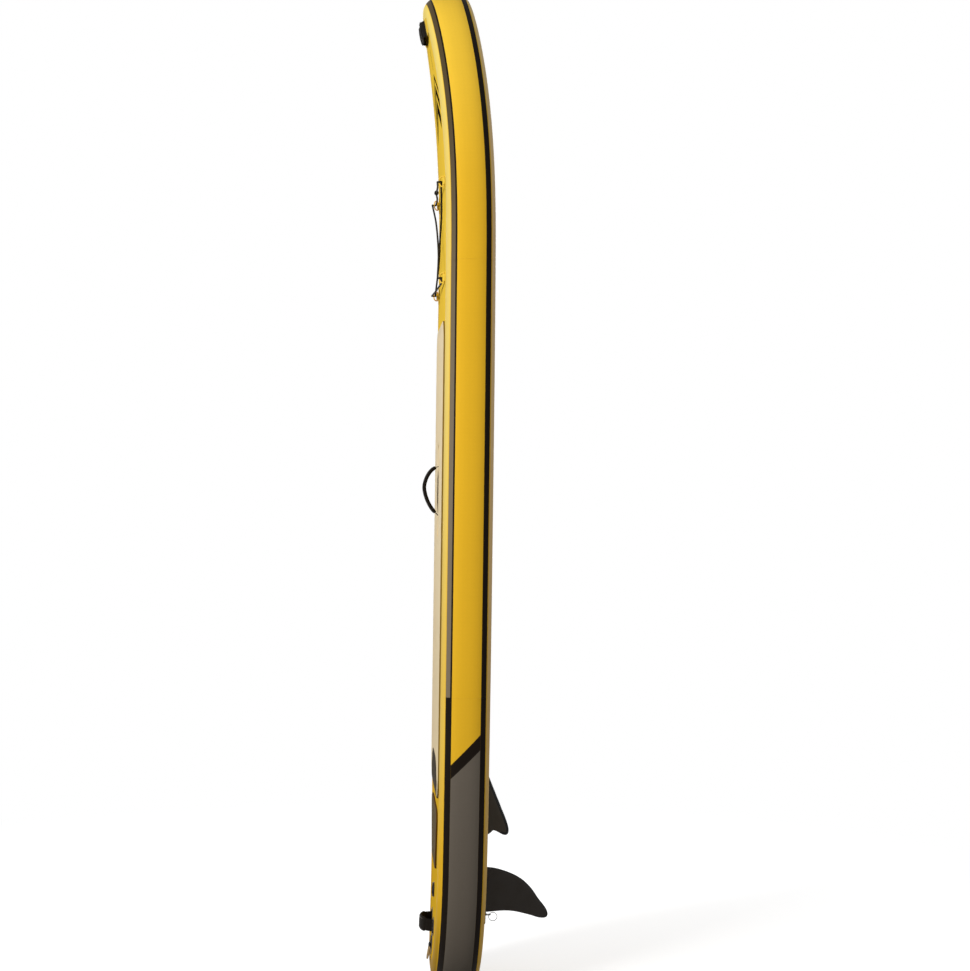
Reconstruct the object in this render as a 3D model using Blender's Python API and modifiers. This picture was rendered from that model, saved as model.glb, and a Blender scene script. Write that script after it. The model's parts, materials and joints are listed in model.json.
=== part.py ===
"""Inflatable stand-up paddle board, standing upright on its tail.

The tail rests at z = 0 and the nose is at the top. The deck faces -Y, the bottom and its
fins face +Y, and X runs across the board. A place on the hull is given as
x across the board, s along it from the tail, and t from its middle plane,
where t is negative towards the deck and positive towards the bottom.
"""
import math

import bmesh
import bpy
import numpy as np
from mathutils import Matrix, Vector

MM = 0.001
GAP = 0.3 * MM

# Hull: 10 ft 6 in long, 32 in wide, 6 in thick
LENGTH = 3.20
WIDTH = 0.813
THICKNESS = 0.1524
RAIL_BULGE = 0.057
RAIL_POWER = 2.37
WIDEST_AT = 1.60
NOSE_PLAN_POWER = 2.17
TAIL_PLAN_POWER = 3.045
NOSE_ROCKER_START = 2.316
NOSE_ROCKER_ANGLE = 0.243
NOSE_ROCKER_POWER = 1.47
TAIL_ROCKER_END = 0.42
TAIL_ROCKER_ANGLE = 0.0675

# Skins, rails and core
RAIL_WALL = 1.2 * MM
RAIL_FLANGE = 20 * MM
RAIL_STEPS = 12
SKIN_WALL = 1.0 * MM
SKIN_GAP = 0.4 * MM
CLOTH_WALL = 0.6 * MM
HALF_PATH_STEPS = 30
NOSE_JOINT_S = 2.293
TAIL_JOINT_S = 0.964
THREAD_SIZE = 3 * MM
THREAD_PITCH_ALONG = 0.21
THREAD_PITCH_ACROSS = 0.15
HALF = THICKNESS / 2
SKIN_OUT = HALF - RAIL_WALL - SKIN_GAP
CLOTH_OUT = SKIN_OUT - SKIN_WALL - GAP

# The tail is pressed flat where the board stands on it
REST_HEIGHT = 4.0 * MM
REST_MIDDLE_T = 9 * MM
REST_RINGS_X = (0.025, 0.045, 0.062)

# Deck pads
PAD_THICK = 6.2 * MM
DECK_PAD_S = (0.6276, 2.123)
DECK_PAD_HALF_WIDTH = 0.285
DECK_PAD_CORNER = 0.085
PAD_OPENING_HALF = (0.045, 0.150)
PAD_OPENING_CORNER = 0.020
TAIL_PAD_S = (0.391, 0.584)
TAIL_PAD_HALF_WIDTH = (0.150, 0.200)
TAIL_PAD_CORNER = 0.035

# Patches and webbing
PATCH_THICK = 1.0 * MM
PATCH_TOP = GAP + PATCH_THICK
WEB_THICK = 2.2 * MM
WEB_FLOOR = PATCH_TOP + GAP

# Carry handle, along the board
CARRY_S = 1.589
CARRY_HALF_SPAN = 0.0777
CARRY_SKEW = 12 * MM
CARRY_ARCH_POWER = 1.65
CARRY_WEB_WIDTH = 38 * MM
CARRY_TOP = 56.9 * MM
CARRY_GRIP_THICK = 12.4 * MM
CARRY_GRIP_WIDTH = 45 * MM
CARRY_PATCH_RADIUS = 0.034

# Nose handle, across the board
NOSE_HANDLE_S = 3.092
NOSE_HALF_SPAN = 0.070
NOSE_WEB_WIDTH = 50 * MM
NOSE_TOP = 21.5 * MM
NOSE_SAG = 4 * MM
NOSE_GRIP_THICK = 8.5 * MM
NOSE_GRIP_WIDTH = 57 * MM
NOSE_PATCH_RADIUS = 0.030

# Tail handle, across the board
TAIL_HANDLE_S = 0.1915
TAIL_HALF_SPAN = 0.056
TAIL_ARCH_POWER = 2.1
TAIL_WEB_WIDTH = 39 * MM
TAIL_TOP = 45 * MM
TAIL_GRIP_THICK = 8.5 * MM
TAIL_GRIP_WIDTH = 44 * MM
TAIL_PATCH_RADIUS = 0.030

# Leash ring
LEASH_BAR_S = 0.112
LEASH_WIRE = 5 * MM
LEASH_WIDTH = 46 * MM
LEASH_DEPTH = 42 * MM
LEASH_TILT = math.radians(8)
LEASH_PATCH_S = 0.122
LEASH_PATCH_RADIUS = 0.038
LEASH_WEB_WIDTH = 38 * MM
LEASH_WEB_THICK = 1.2 * MM
LEASH_TAB = 28 * MM

# Cargo cord and its anchors: x of the cord's turn, and s
CORD_DIAMETER = 6 * MM
ANCHORS = {
    "front_right": (0.240, 2.555),
    "front_left": (-0.240, 2.555),
    "rear_right": (0.272, 2.249),
    "rear_left": (-0.272, 2.249),
}
RING_WIRE = 4 * MM
RING_WIDTH = 30 * MM
RING_DEPTH = 19.5 * MM
RING_TILT = math.radians(40)
RING_WEB_WIDTH = 22 * MM
RING_WEB_THICK = 1.0 * MM
RING_TAB = 20 * MM
ANCHOR_PATCH_RADIUS = 0.0275
KNOT_S = 2.559
KNOT_HEIGHT = 20 * MM
KNOT_LENGTH = 19 * MM
KNOT_RADIUS = 7.5 * MM

# Valve
VALVE_S = 0.296
FLANGE_RADIUS = 24 * MM
FLANGE_TOP = 3.2 * MM
BARREL_RADIUS = 15 * MM
BORE_RADIUS = 12 * MM
SEAT_RADIUS = 10 * MM
BARREL_DEPTH = 30 * MM
WEB_DEPTH = 16 * MM
WEB_WALL = 2.5 * MM
STEM_RADIUS = 3 * MM
STEM_GUIDE_RADIUS = 3.3 * MM
STEM_STROKE = 5 * MM
SPRING_WIRE = 0.9 * MM
SPRING_RADIUS = 4.4 * MM
SPRING_TURNS = 4
SPRING_POINTS_PER_TURN = 9
CAP_RADIUS = 22 * MM
CAP_TOP = 6.4 * MM
NUT_RADIUS = 29 * MM
NUT_THICK = 6 * MM

# Centre fin, its box and lock clip
BOX_S = (0.189, 0.374)
BOX_HALF_WIDTH = 15 * MM
BOX_TOP = 20 * MM
BOX_FLOOR = 2.2 * MM
SLOT_HALF = 4.8 * MM
CHANNEL_HALF = 9 * MM
CHANNEL_HEIGHT = 6 * MM
FOOT_S = (0.2275, 0.3695)
FOOT_HALF = 8.6 * MM
NECK_HALF = 4.4 * MM
FIN_HALF_THICK = 4.6 * MM
CLIP_S = (0.2165, 0.2225)
CLIP_HALF = 7 * MM
CLIP_LIP = 2 * MM
TAB_REACH = 15.5 * MM
TAB_THICK = 2.4 * MM
TAB_HOLE_RADIUS = 2.6 * MM
CLIP_RING_ANGLE = math.radians(62)
CLIP_RING_RADIUS = 13.7 * MM
CLIP_RING_WIRE = 1.6 * MM

# Side fins
SIDE_FIN_X = 0.12
SIDE_FIN_BASE_HALF = 13 * MM
SIDE_FIN_HALF_THICK = 3.5 * MM
SIDE_FIN_S = (0.4965, 0.7060)
SIDE_FIN_CANT = math.radians(4)


def clear_scene():
    """Remove every object of the file."""
    for item in list(bpy.data.objects):
        bpy.data.objects.remove(item, do_unlink=True)


def new_collection(name):
    """A collection linked to the scene."""
    group = bpy.data.collections.new(name)
    bpy.context.scene.collection.children.link(group)
    return group


clear_scene()
BOARD = new_collection("paddle_board")
CUTTERS = new_collection("cutters")


def material(name, colour, roughness, metallic=0.0):
    """A Principled material with one colour, roughness and metallic value."""
    made = bpy.data.materials.new(name)
    made.use_nodes = True
    shader = made.node_tree.nodes["Principled BSDF"]
    shader.inputs["Base Color"].default_value = (*colour, 1.0)
    shader.inputs["Roughness"].default_value = roughness
    shader.inputs["Metallic"].default_value = metallic
    made.diffuse_color = (*colour, 1.0)
    return made


FINISHES = {
    "yellow_pvc": ((0.78, 0.60, 0.04), 0.45, 0.0),
    "grey_pvc": ((0.12, 0.12, 0.12), 0.45, 0.0),
    "black_pvc": ((0.015, 0.015, 0.016), 0.45, 0.0),
    "cloth": ((0.75, 0.75, 0.72), 0.9, 0.0),
    "sand_foam": ((0.60, 0.55, 0.40), 0.85, 0.0),
    "dark_foam": ((0.03, 0.03, 0.03), 0.85, 0.0),
    "webbing": ((0.02, 0.02, 0.02), 0.8, 0.0),
    "grip": ((0.03, 0.03, 0.03), 0.7, 0.0),
    "steel": ((0.55, 0.54, 0.52), 0.25, 1.0),
    "cord": ((0.02, 0.02, 0.02), 0.8, 0.0),
    "hard_plastic": ((0.02, 0.02, 0.02), 0.4, 0.0),
    "seal_rubber": ((0.05, 0.05, 0.05), 0.6, 0.0),
}


def finish_object(item, finish):
    """Give an object its own material and keep it in the board's collection."""
    colour, roughness, metallic = FINISHES[finish]
    item.data.materials.clear()
    item.data.materials.append(material(item.name, colour, roughness, metallic))
    BOARD.objects.link(item)
    return item


def mesh_object(name, points, faces, finish, frame=None):
    """An object from points and faces, placed by a frame."""
    mesh = bpy.data.meshes.new(name)
    mesh.from_pydata([tuple(point) for point in points], [], faces)
    mesh.validate()
    item = bpy.data.objects.new(name, mesh)
    if frame is not None:
        item.matrix_world = frame
    return finish_object(item, finish)


def as_cutter(item):
    """Move an object to the cutters' collection and hide it."""
    BOARD.objects.unlink(item)
    CUTTERS.objects.link(item)
    item.hide_render = True
    item.display_type = "WIRE"
    return item


def boolean(item, other, operation):
    """Cut an object with another, or join the other to it."""
    step = item.modifiers.new(operation.lower() + "_" + other.name, "BOOLEAN")
    step.operation = operation
    step.solver = "EXACT"
    step.object = as_cutter(other)
    return item


def curve_to_mesh(item, finish):
    """Replace a curve object by the mesh that it makes, with its caps welded."""
    name = item.name
    bpy.context.view_layer.update()
    graph = bpy.context.evaluated_depsgraph_get()
    mesh = bpy.data.meshes.new_from_object(item.evaluated_get(graph))
    work = bmesh.new()
    work.from_mesh(mesh)
    bmesh.ops.remove_doubles(work, verts=work.verts, dist=0.00001)
    work.to_mesh(mesh)
    work.free()
    frame = item.matrix_world.copy()
    bpy.data.objects.remove(item, do_unlink=True)
    made = bpy.data.objects.new(name, mesh)
    made.matrix_world = frame
    return finish_object(made, finish)


# Hull lines


def line_angle(s):
    """The angle that the board's middle line turns towards the deck at s."""
    if s > NOSE_ROCKER_START:
        share = (s - NOSE_ROCKER_START) / (LENGTH - NOSE_ROCKER_START)
        return NOSE_ROCKER_ANGLE * share ** NOSE_ROCKER_POWER
    if s < TAIL_ROCKER_END:
        return -TAIL_ROCKER_ANGLE * (TAIL_ROCKER_END - s) / TAIL_ROCKER_END
    return 0.0


def middle_line():
    """The middle line's y and z at even steps of s, with y = 0 on its flat middle."""
    s = np.linspace(-0.02, LENGTH + 0.02, 1301)
    angle = np.array([line_angle(value) for value in s])
    step_y = -(np.sin(angle[1:]) + np.sin(angle[:-1])) / 2 * np.diff(s)
    step_z = (np.cos(angle[1:]) + np.cos(angle[:-1])) / 2 * np.diff(s)
    y = np.concatenate([[0], np.cumsum(step_y)])
    z = np.concatenate([[0], np.cumsum(step_z)])
    y -= np.interp(1.2, s, y)
    z -= np.interp(0.0, s, z)
    return s, y, z


LINE_S, LINE_Y, LINE_Z = middle_line()
ORIGIN_Y = float(np.interp(0.0, LINE_S, LINE_Y)) + REST_MIDDLE_T


def place(x, t, s):
    """A hull place in the world."""
    angle = line_angle(s)
    y = float(np.interp(s, LINE_S, LINE_Y)) + t * math.cos(angle) - ORIGIN_Y
    z = float(np.interp(s, LINE_S, LINE_Z)) + t * math.sin(angle) - REST_HEIGHT
    return Vector((x, y, z))


def hull_frame(x, s, side, height=0.0):
    """A frame on a skin's outer face: its Z points away from the hull, its Y to the nose.

    side is -1 on the deck and 1 on the bottom.
    """
    angle = line_angle(s)
    out = Vector((0, math.cos(angle), math.sin(angle))) * side
    along = Vector((0, -math.sin(angle), math.cos(angle)))
    across = along.cross(out)
    frame = Matrix((across, along, out)).transposed().to_4x4()
    frame.translation = place(x, side * (SKIN_OUT + height), s)
    return frame


def seat_lift(s, reach, side=-1):
    """How far a flat piece is lifted so that the curved skin clears it over its reach."""
    inverse = hull_frame(0, s, side).inverted()
    heights = [0.0]
    for end in np.linspace(s - reach, s + reach, 9):
        heights.append((inverse @ place(0, side * SKIN_OUT, end)).z)
    return max(heights)


def seam_half_path():
    """The seam where rail and skin meet, from the nose's middle to the tail's middle.

    Rows of arc length, x, s and the outward normal, on the +X side.
    """
    half_width = WIDTH / 2 - RAIL_BULGE
    turn = np.linspace(0, math.pi / 2, 1500)
    # Fine steps near both ends of each quarter
    turn = (math.pi / 2) * (0.5 - 0.5 * np.cos(turn * 2))
    nose_reach = LENGTH - RAIL_BULGE - WIDEST_AT
    tail_reach = WIDEST_AT - RAIL_BULGE
    nose_x = half_width * np.sin(turn) ** (2 / NOSE_PLAN_POWER)
    nose_s = WIDEST_AT + nose_reach * np.cos(turn) ** (2 / NOSE_PLAN_POWER)
    tail_x = half_width * np.cos(turn) ** (2 / TAIL_PLAN_POWER)
    tail_s = WIDEST_AT - tail_reach * np.sin(turn) ** (2 / TAIL_PLAN_POWER)
    tail_x[-1] = 0.0
    nose_s[-1] = WIDEST_AT
    x = np.concatenate([nose_x, tail_x[1:]])
    s = np.concatenate([nose_s, tail_s[1:]])
    dx = np.gradient(x)
    ds = np.gradient(s)
    size = np.hypot(dx, ds)
    normal_x = -ds / size
    normal_s = dx / size
    normal_x[0] = 0.0
    normal_s[0] = 1.0
    normal_x[-1] = 0.0
    normal_s[-1] = -1.0
    arc = np.concatenate([[0], np.cumsum(np.hypot(np.diff(x), np.diff(s)))])
    return arc, x, s, normal_x, normal_s


SEAM_ARC, SEAM_X, SEAM_S, SEAM_NX, SEAM_NS = seam_half_path()
SEAM_END = float(SEAM_ARC[-1])


def seam_at(arc):
    """x, s and outward normal at an arc length; past the tail's middle it runs up the -X side."""
    sign = 1.0
    if arc > SEAM_END:
        arc = 2 * SEAM_END - arc
        sign = -1.0
    if arc < 0:
        arc = -arc
        sign = -1.0
    x = float(np.interp(arc, SEAM_ARC, SEAM_X))
    s = float(np.interp(arc, SEAM_ARC, SEAM_S))
    nx = float(np.interp(arc, SEAM_ARC, SEAM_NX))
    ns = float(np.interp(arc, SEAM_ARC, SEAM_NS))
    size = math.hypot(nx, ns)
    return sign * x, s, sign * nx / size, ns / size


def arc_at_s(s):
    """The arc length at which the half path passes s."""
    return float(np.interp(-s, -SEAM_S, SEAM_ARC))


def half_path_marks():
    """Arc lengths that share out the path's length and its turning evenly, with both joints."""
    heading = np.unwrap(np.arctan2(SEAM_NS, SEAM_NX))
    rise = np.array([line_angle(value) for value in SEAM_S])
    weight = SEAM_ARC / SEAM_END + 0.55 * np.abs(heading - heading[0])
    weight = weight + 3.0 * np.concatenate([[0], np.cumsum(np.abs(np.diff(rise)))])
    even = np.linspace(0, weight[-1], HALF_PATH_STEPS + 1)
    marks = list(np.interp(even, weight, SEAM_ARC))
    for joint in (NOSE_JOINT_S, TAIL_JOINT_S):
        arc = arc_at_s(joint)
        nearest = min(range(len(marks)), key=lambda index: abs(marks[index] - arc))
        marks[nearest] = arc
    marks[0] = 0.0
    marks[-1] = SEAM_END
    return marks


MARKS = half_path_marks()


def rail_section(bulge, half):
    """The rail's open outline as pairs of offset from the seam and t, deck side first."""
    outline = [(-RAIL_FLANGE, -half)]
    for step in range(RAIL_STEPS + 1):
        turn = -math.pi / 2 + math.pi * step / RAIL_STEPS
        out = bulge * max(math.cos(turn), 0.0) ** (2 / RAIL_POWER)
        t = half * math.copysign(abs(math.sin(turn)) ** (2 / RAIL_POWER), turn)
        outline.append((out, t))
    outline.append((-RAIL_FLANGE, half))
    return outline


def rail_ring(arc):
    """One closed cross-section of the rail band, pressed flat where it rests."""
    x, s, nx, ns = seam_at(arc)
    ring = []
    outer = rail_section(RAIL_BULGE, HALF)
    inner = rail_section(RAIL_BULGE - RAIL_WALL, HALF - RAIL_WALL)
    for outline, floor in ((outer, 0.0), (inner[::-1], RAIL_WALL)):
        for out, t in outline:
            point = place(x + out * nx, t, s + out * ns)
            point.z = max(point.z, floor)
            ring.append(point)
    return ring


def loft(name, rings, finish, frame=None):
    """A closed solid through rings of as many points each, capped at both ends."""
    count = len(rings[0])
    points = [point for ring in rings for point in ring]
    faces = []
    for row in range(len(rings) - 1):
        for column in range(count):
            following = (column + 1) % count
            a = row * count + column
            b = row * count + following
            faces.append((a, b, b + count, a + count))
    faces.append(tuple(range(count))[::-1])
    last = (len(rings) - 1) * count
    faces.append(tuple(range(last, last + count)))
    item = mesh_object(name, points, faces, finish, frame)
    outward(item)
    return item


def outward(item):
    """Turn the faces of a closed mesh outwards."""
    work = bmesh.new()
    work.from_mesh(item.data)
    bmesh.ops.triangulate(work, faces=[face for face in work.faces if len(face.verts) > 4])
    bmesh.ops.recalc_face_normals(work, faces=work.faces)
    work.to_mesh(item.data)
    work.free()


def rail_band(name, start, end, finish):
    """A rail band between two arc lengths, with the path's marks between them."""
    arcs = [start]
    every = [-mark for mark in MARKS] + MARKS + [2 * SEAM_END - mark for mark in MARKS]
    every += [SEAM_END + side * x for side in (-1, 1) for x in REST_RINGS_X]
    for mark in sorted(set(round(value, 6) for value in every)):
        if start + 0.002 < mark < end - 0.002:
            arcs.append(mark)
    arcs.append(end)
    return loft(name, [rail_ring(arc) for arc in arcs], finish)


def make_rails():
    """Four rail bands that meet at the joints with a hair's gap."""
    half_gap = GAP / 2
    nose_joint = arc_at_s(NOSE_JOINT_S)
    tail_joint = arc_at_s(TAIL_JOINT_S)
    rail_band("rail_band_nose", half_gap - nose_joint, nose_joint - half_gap, "yellow_pvc")
    rail_band("rail_band_right", nose_joint + half_gap, tail_joint - half_gap, "yellow_pvc")
    rail_band("rail_band_left", half_gap - tail_joint, -nose_joint - half_gap, "yellow_pvc")
    far = 2 * SEAM_END - tail_joint
    rail_band("rail_band_tail", tail_joint + half_gap, far - half_gap, "grey_pvc")


def skin_rings(side, outer, wall, inset):
    """Rings across the board from nose to tail for a sheet under the rails' flanges."""
    rings = []
    for mark in MARKS[1:-1]:
        x, s, nx, ns = seam_at(mark)
        x -= inset * nx
        s -= inset * ns
        ring = []
        for across, depth in ((-x, outer), (x, outer), (x, outer - wall), (-x, outer - wall)):
            ring.append(place(across, side * depth, s))
        rings.append(ring)
    return rings


def make_skins():
    """The deck and bottom skins; the deck skin is holed for the valve."""
    inset = 2 * MM
    deck = loft("deck_skin", skin_rings(-1, SKIN_OUT, SKIN_WALL, inset), "yellow_pvc")
    boolean(deck, valve_hole("deck_skin_hole"), "DIFFERENCE")
    loft("bottom_skin", skin_rings(1, SKIN_OUT, SKIN_WALL, inset), "yellow_pvc")


def valve_hole(name):
    """A cutter for the hole that the valve's barrel passes through."""
    hole = cylinder(name, BARREL_RADIUS + GAP, -8 * MM, 4 * MM, hull_frame(0, VALVE_S, -1),
                    "steel", 28)
    return hole


def box_points(half_x, half_y, low, high):
    """The eight corners of a box in a frame."""
    corners = []
    for z in (low, high):
        for x, y in ((-1, -1), (1, -1), (1, 1), (-1, 1)):
            corners.append(Vector((x * half_x, y * half_y, z)))
    return corners


BOX_FACES = [(3, 2, 1, 0), (4, 5, 6, 7), (0, 1, 5, 4), (1, 2, 6, 5), (2, 3, 7, 6), (3, 0, 4, 7)]


def make_core():
    """The drop-stitch core: two cloths tied by upright threads into one woven piece."""
    inset = 16 * MM
    core = loft("drop_stitch_core", skin_rings(1, CLOTH_OUT, CLOTH_WALL, inset), "cloth")
    top = loft("core_deck_cloth", skin_rings(-1, CLOTH_OUT, CLOTH_WALL, inset), "cloth")
    boolean(core, top, "UNION")
    points = []
    faces = []
    inside = CLOTH_OUT - CLOTH_WALL / 2
    rows = int((LENGTH - 0.24) / THREAD_PITCH_ALONG) + 1
    for row in range(rows):
        s = 0.12 + (LENGTH - 0.24) * row / (rows - 1)
        half_width = seam_half_width(s) - inset - 0.025
        count = max(1, int(half_width / THREAD_PITCH_ACROSS))
        for column in range(-count, count + 1):
            x = half_width * column / count
            if math.hypot(x, s - VALVE_S) < NUT_RADIUS + 0.012:
                continue
            frame = hull_frame(x, s, 1)
            low = -(SKIN_OUT + inside)
            high = inside - SKIN_OUT
            base = len(points)
            half = THREAD_SIZE / 2
            points += [frame @ corner for corner in box_points(half, half, low, high)]
            faces += [tuple(base + index for index in face) for face in BOX_FACES]
    threads = mesh_object("core_threads", points, faces, "cloth")
    boolean(core, threads, "UNION")
    boolean(core, valve_hole("core_hole"), "DIFFERENCE")


def seam_half_width(s):
    """Half the board's width at the seam, at s."""
    return float(np.interp(arc_at_s(s), SEAM_ARC, SEAM_X))


# General solids


def cylinder(name, radius, low, high, frame, finish, segments=24):
    """An upright cylinder between two heights of a frame."""
    mesh = bpy.data.meshes.new(name)
    work = bmesh.new()
    bmesh.ops.create_cone(work, cap_ends=True, segments=segments, radius1=radius,
                          radius2=radius, depth=high - low)
    bmesh.ops.translate(work, verts=work.verts, vec=(0, 0, (low + high) / 2))
    work.to_mesh(mesh)
    work.free()
    item = bpy.data.objects.new(name, mesh)
    item.matrix_world = frame
    finish_object(item, finish)
    mesh.shade_smooth()
    mesh.set_sharp_from_angle(angle=math.radians(30))
    return item


def plate(name, outlines, low, high, frame, finish):
    """A flat outline, with any holes after it, between two heights of a frame."""
    curve = bpy.data.curves.new(name, "CURVE")
    curve.dimensions = "2D"
    curve.fill_mode = "BOTH"
    curve.extrude = (high - low) / 2
    for outline in outlines:
        spline = curve.splines.new("POLY")
        spline.points.add(len(outline) - 1)
        for point, (u, v) in zip(spline.points, outline):
            point.co = (u, v, 0, 1)
        spline.use_cyclic_u = True
    item = bpy.data.objects.new(name, curve)
    item.matrix_world = frame @ Matrix.Translation((0, 0, (low + high) / 2))
    return finish_object(item, finish)


def tube(name, points, diameter, resolution, frame, finish, cyclic=False):
    """A round wire along points of a frame."""
    curve = bpy.data.curves.new(name, "CURVE")
    curve.dimensions = "3D"
    curve.bevel_depth = diameter / 2
    curve.bevel_resolution = resolution
    curve.use_fill_caps = not cyclic
    spline = curve.splines.new("POLY")
    spline.points.add(len(points) - 1)
    for point, place_at in zip(spline.points, points):
        point.co = (*place_at, 1)
    spline.use_cyclic_u = cyclic
    item = bpy.data.objects.new(name, curve)
    item.matrix_world = frame
    return finish_object(item, finish)


def turned(name, profile, frame, finish, steps=24, closed=True):
    """A turned solid: pairs of radius and height run down the outer side, then back inside."""
    mesh = bpy.data.meshes.new(name)
    count = len(profile)
    edges = [(index, index + 1) for index in range(count - 1)]
    if closed:
        edges.append((count - 1, 0))
    mesh.from_pydata([(radius, 0, height) for radius, height in profile], edges, [])
    item = bpy.data.objects.new(name, mesh)
    item.matrix_world = frame
    spin = item.modifiers.new("turn", "SCREW")
    spin.axis = "Z"
    spin.angle = 2 * math.pi
    spin.steps = steps
    spin.render_steps = steps
    spin.use_merge_vertices = True
    spin.merge_threshold = 0.00001
    return finish_object(item, finish)


def rounded_rectangle(half_u, half_v, radius, steps=5):
    """A rectangle's outline with round corners."""
    outline = []
    for centre_u, centre_v, start in ((1, 1, 0), (-1, 1, 90), (-1, -1, 180), (1, -1, 270)):
        for step in range(steps + 1):
            turn = math.radians(start + 90 * step / steps)
            outline.append((
                centre_u * (half_u - radius) + radius * math.cos(turn),
                centre_v * (half_v - radius) + radius * math.sin(turn),
            ))
    return outline


def circle(radius, steps, centre=(0.0, 0.0)):
    """A circle's outline."""
    turns = [2 * math.pi * step / steps for step in range(steps)]
    return [(centre[0] + radius * math.cos(a), centre[1] + radius * math.sin(a)) for a in turns]


def thick_line(path, thickness):
    """The outline of a line of points given a thickness, with square ends."""
    points = np.array(path)
    slope = np.gradient(points, axis=0)
    slope /= np.linalg.norm(slope, axis=1)[:, None]
    normal = np.column_stack([-slope[:, 1], slope[:, 0]])
    upper = points + normal * thickness / 2
    lower = points - normal * thickness / 2
    return [tuple(point) for point in upper] + [tuple(point) for point in lower[::-1]]


# Pads


def make_pads():
    """The standing pad with the carry handle's opening, and the kick pad behind it."""
    middle = sum(DECK_PAD_S) / 2
    outline = rounded_rectangle(DECK_PAD_HALF_WIDTH, (DECK_PAD_S[1] - DECK_PAD_S[0]) / 2,
                                DECK_PAD_CORNER)
    shift = CARRY_S - middle
    opening = [(u, v + shift) for u, v in
               rounded_rectangle(*PAD_OPENING_HALF, PAD_OPENING_CORNER, 3)]
    plate("deck_pad", [outline, opening[::-1]], GAP, GAP + PAD_THICK,
          hull_frame(0, middle, -1), "sand_foam")
    middle = sum(TAIL_PAD_S) / 2
    half = (TAIL_PAD_S[1] - TAIL_PAD_S[0]) / 2
    narrow, wide = TAIL_PAD_HALF_WIDTH
    kick = []
    for u, v in rounded_rectangle(wide, half, TAIL_PAD_CORNER):
        share = (half - v) / (2 * half)
        kick.append((u * (1 - share * (1 - narrow / wide)), v))
    lift = seat_lift(middle, half)
    plate("tail_pad", [kick], lift + GAP, lift + GAP + PAD_THICK, hull_frame(0, middle, -1),
          "dark_foam")


# Handles


def arch_path(half_span, top, skew, power, tab, turns):
    """A strap's middle line: a tab on the deck, a round arch, and the other tab."""
    floor = WEB_FLOOR + WEB_THICK / 2
    line = [(-half_span - tab, floor), (-half_span - 5 * MM, floor)]
    for turn in turns:
        u = -half_span * math.copysign(abs(math.cos(turn)) ** (2 / power), math.cos(turn))
        h = floor + (top - floor) * math.sin(turn) ** (2 / power)
        line.append((u + skew * math.sin(turn), h))
    line += [(half_span + 5 * MM, floor), (half_span + tab, floor)]
    return line


def strap(name, line, width, frame):
    """Webbing along a line in the frame's YZ plane, its width along the frame's X."""
    stand = frame @ Matrix(((0, 0, 1, 0), (1, 0, 0, 0), (0, 1, 0, 0), (0, 0, 0, 1)))
    return plate(name, [thick_line(line, WEB_THICK)], -width / 2, width / 2, stand, "webbing")


def grip(name, line, width, thickness, slot_width, frame):
    """A soft sleeve round a strap: an oval tube with a flat slot, along a stretch of its line."""
    points = np.array(line)
    slope = np.gradient(points, axis=0)
    slope /= np.linalg.norm(slope, axis=1)[:, None]
    count = 12
    outer = []
    inner = []
    for row, (point, along) in enumerate(zip(points, slope)):
        across = Vector((0, -along[1], along[0]))
        middle = Vector((0, point[0], point[1]))
        at_end = row in (0, len(points) - 1)
        shrink = 0.75 if at_end else 1.0
        for rings, half_u, half_v, power in (
            (outer, width / 2, thickness / 2 * shrink, 2.6),
            (inner, slot_width / 2, WEB_THICK / 2 + 0.6 * MM, 12.0),
        ):
            ring = []
            for step in range(count):
                turn = 2 * math.pi * (step + 0.5) / count
                u = half_u * signed_power(math.cos(turn), 2 / power)
                v = half_v * signed_power(math.sin(turn), 2 / power)
                ring.append(middle + Vector((u, 0, 0)) + across * v)
            rings.append(ring)
    sleeve(name, outer, inner, "grip", frame)


def signed_power(value, power):
    """A power that keeps the sign."""
    return math.copysign(abs(value) ** power, value)


def sleeve(name, outer, inner, finish, frame):
    """A tube wall between outer and inner rings, open at both ends."""
    count = len(outer[0])
    rows = len(outer)
    points = [point for ring in outer for point in ring]
    points += [point for ring in inner for point in ring]
    base = rows * count
    faces = []
    for row in range(rows - 1):
        for column in range(count):
            following = (column + 1) % count
            a = row * count + column
            b = row * count + following
            faces.append((a, b, b + count, a + count))
            faces.append((base + a, base + a + count, base + b + count, base + b))
    last = (rows - 1) * count
    for column in range(count):
        following = (column + 1) % count
        faces.append((column, base + column, base + following, following))
        faces.append((last + column, last + following, base + last + following,
                      base + last + column))
    item = mesh_object(name, points, faces, finish, frame)
    outward(item)


def patch(name, x, s, radius, base=0.0, finish="grey_pvc"):
    """A round patch glued on the deck; base raises it over the rail's flange."""
    low = base + GAP + seat_lift(s, radius)
    return cylinder(name, radius, low, low + PATCH_THICK, hull_frame(x, s, -1), finish)


def make_carry_handle():
    """The padded handle in the board's middle, along its length."""
    frame = hull_frame(0, CARRY_S, -1)
    turns = [math.radians(value) for value in range(18, 163, 12)]
    top = CARRY_TOP - CARRY_GRIP_THICK / 2
    line = arch_path(CARRY_HALF_SPAN, top, CARRY_SKEW, CARRY_ARCH_POWER, 30 * MM, turns)
    strap("carry_handle_strap", line, CARRY_WEB_WIDTH, frame)
    grip("carry_handle_grip", line[2:-2], CARRY_GRIP_WIDTH, CARRY_GRIP_THICK,
         CARRY_WEB_WIDTH + 1.2 * MM, frame)
    for name, side in (("front", 1), ("rear", -1)):
        patch("carry_handle_patch_" + name, 0, CARRY_S + side * (CARRY_HALF_SPAN + 22 * MM),
              CARRY_PATCH_RADIUS)


def across_frame(s, height):
    """A deck frame turned so that its Y runs across the board, to +X."""
    return hull_frame(0, s, -1, height) @ Matrix.Rotation(-math.pi / 2, 4, "Z")


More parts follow.
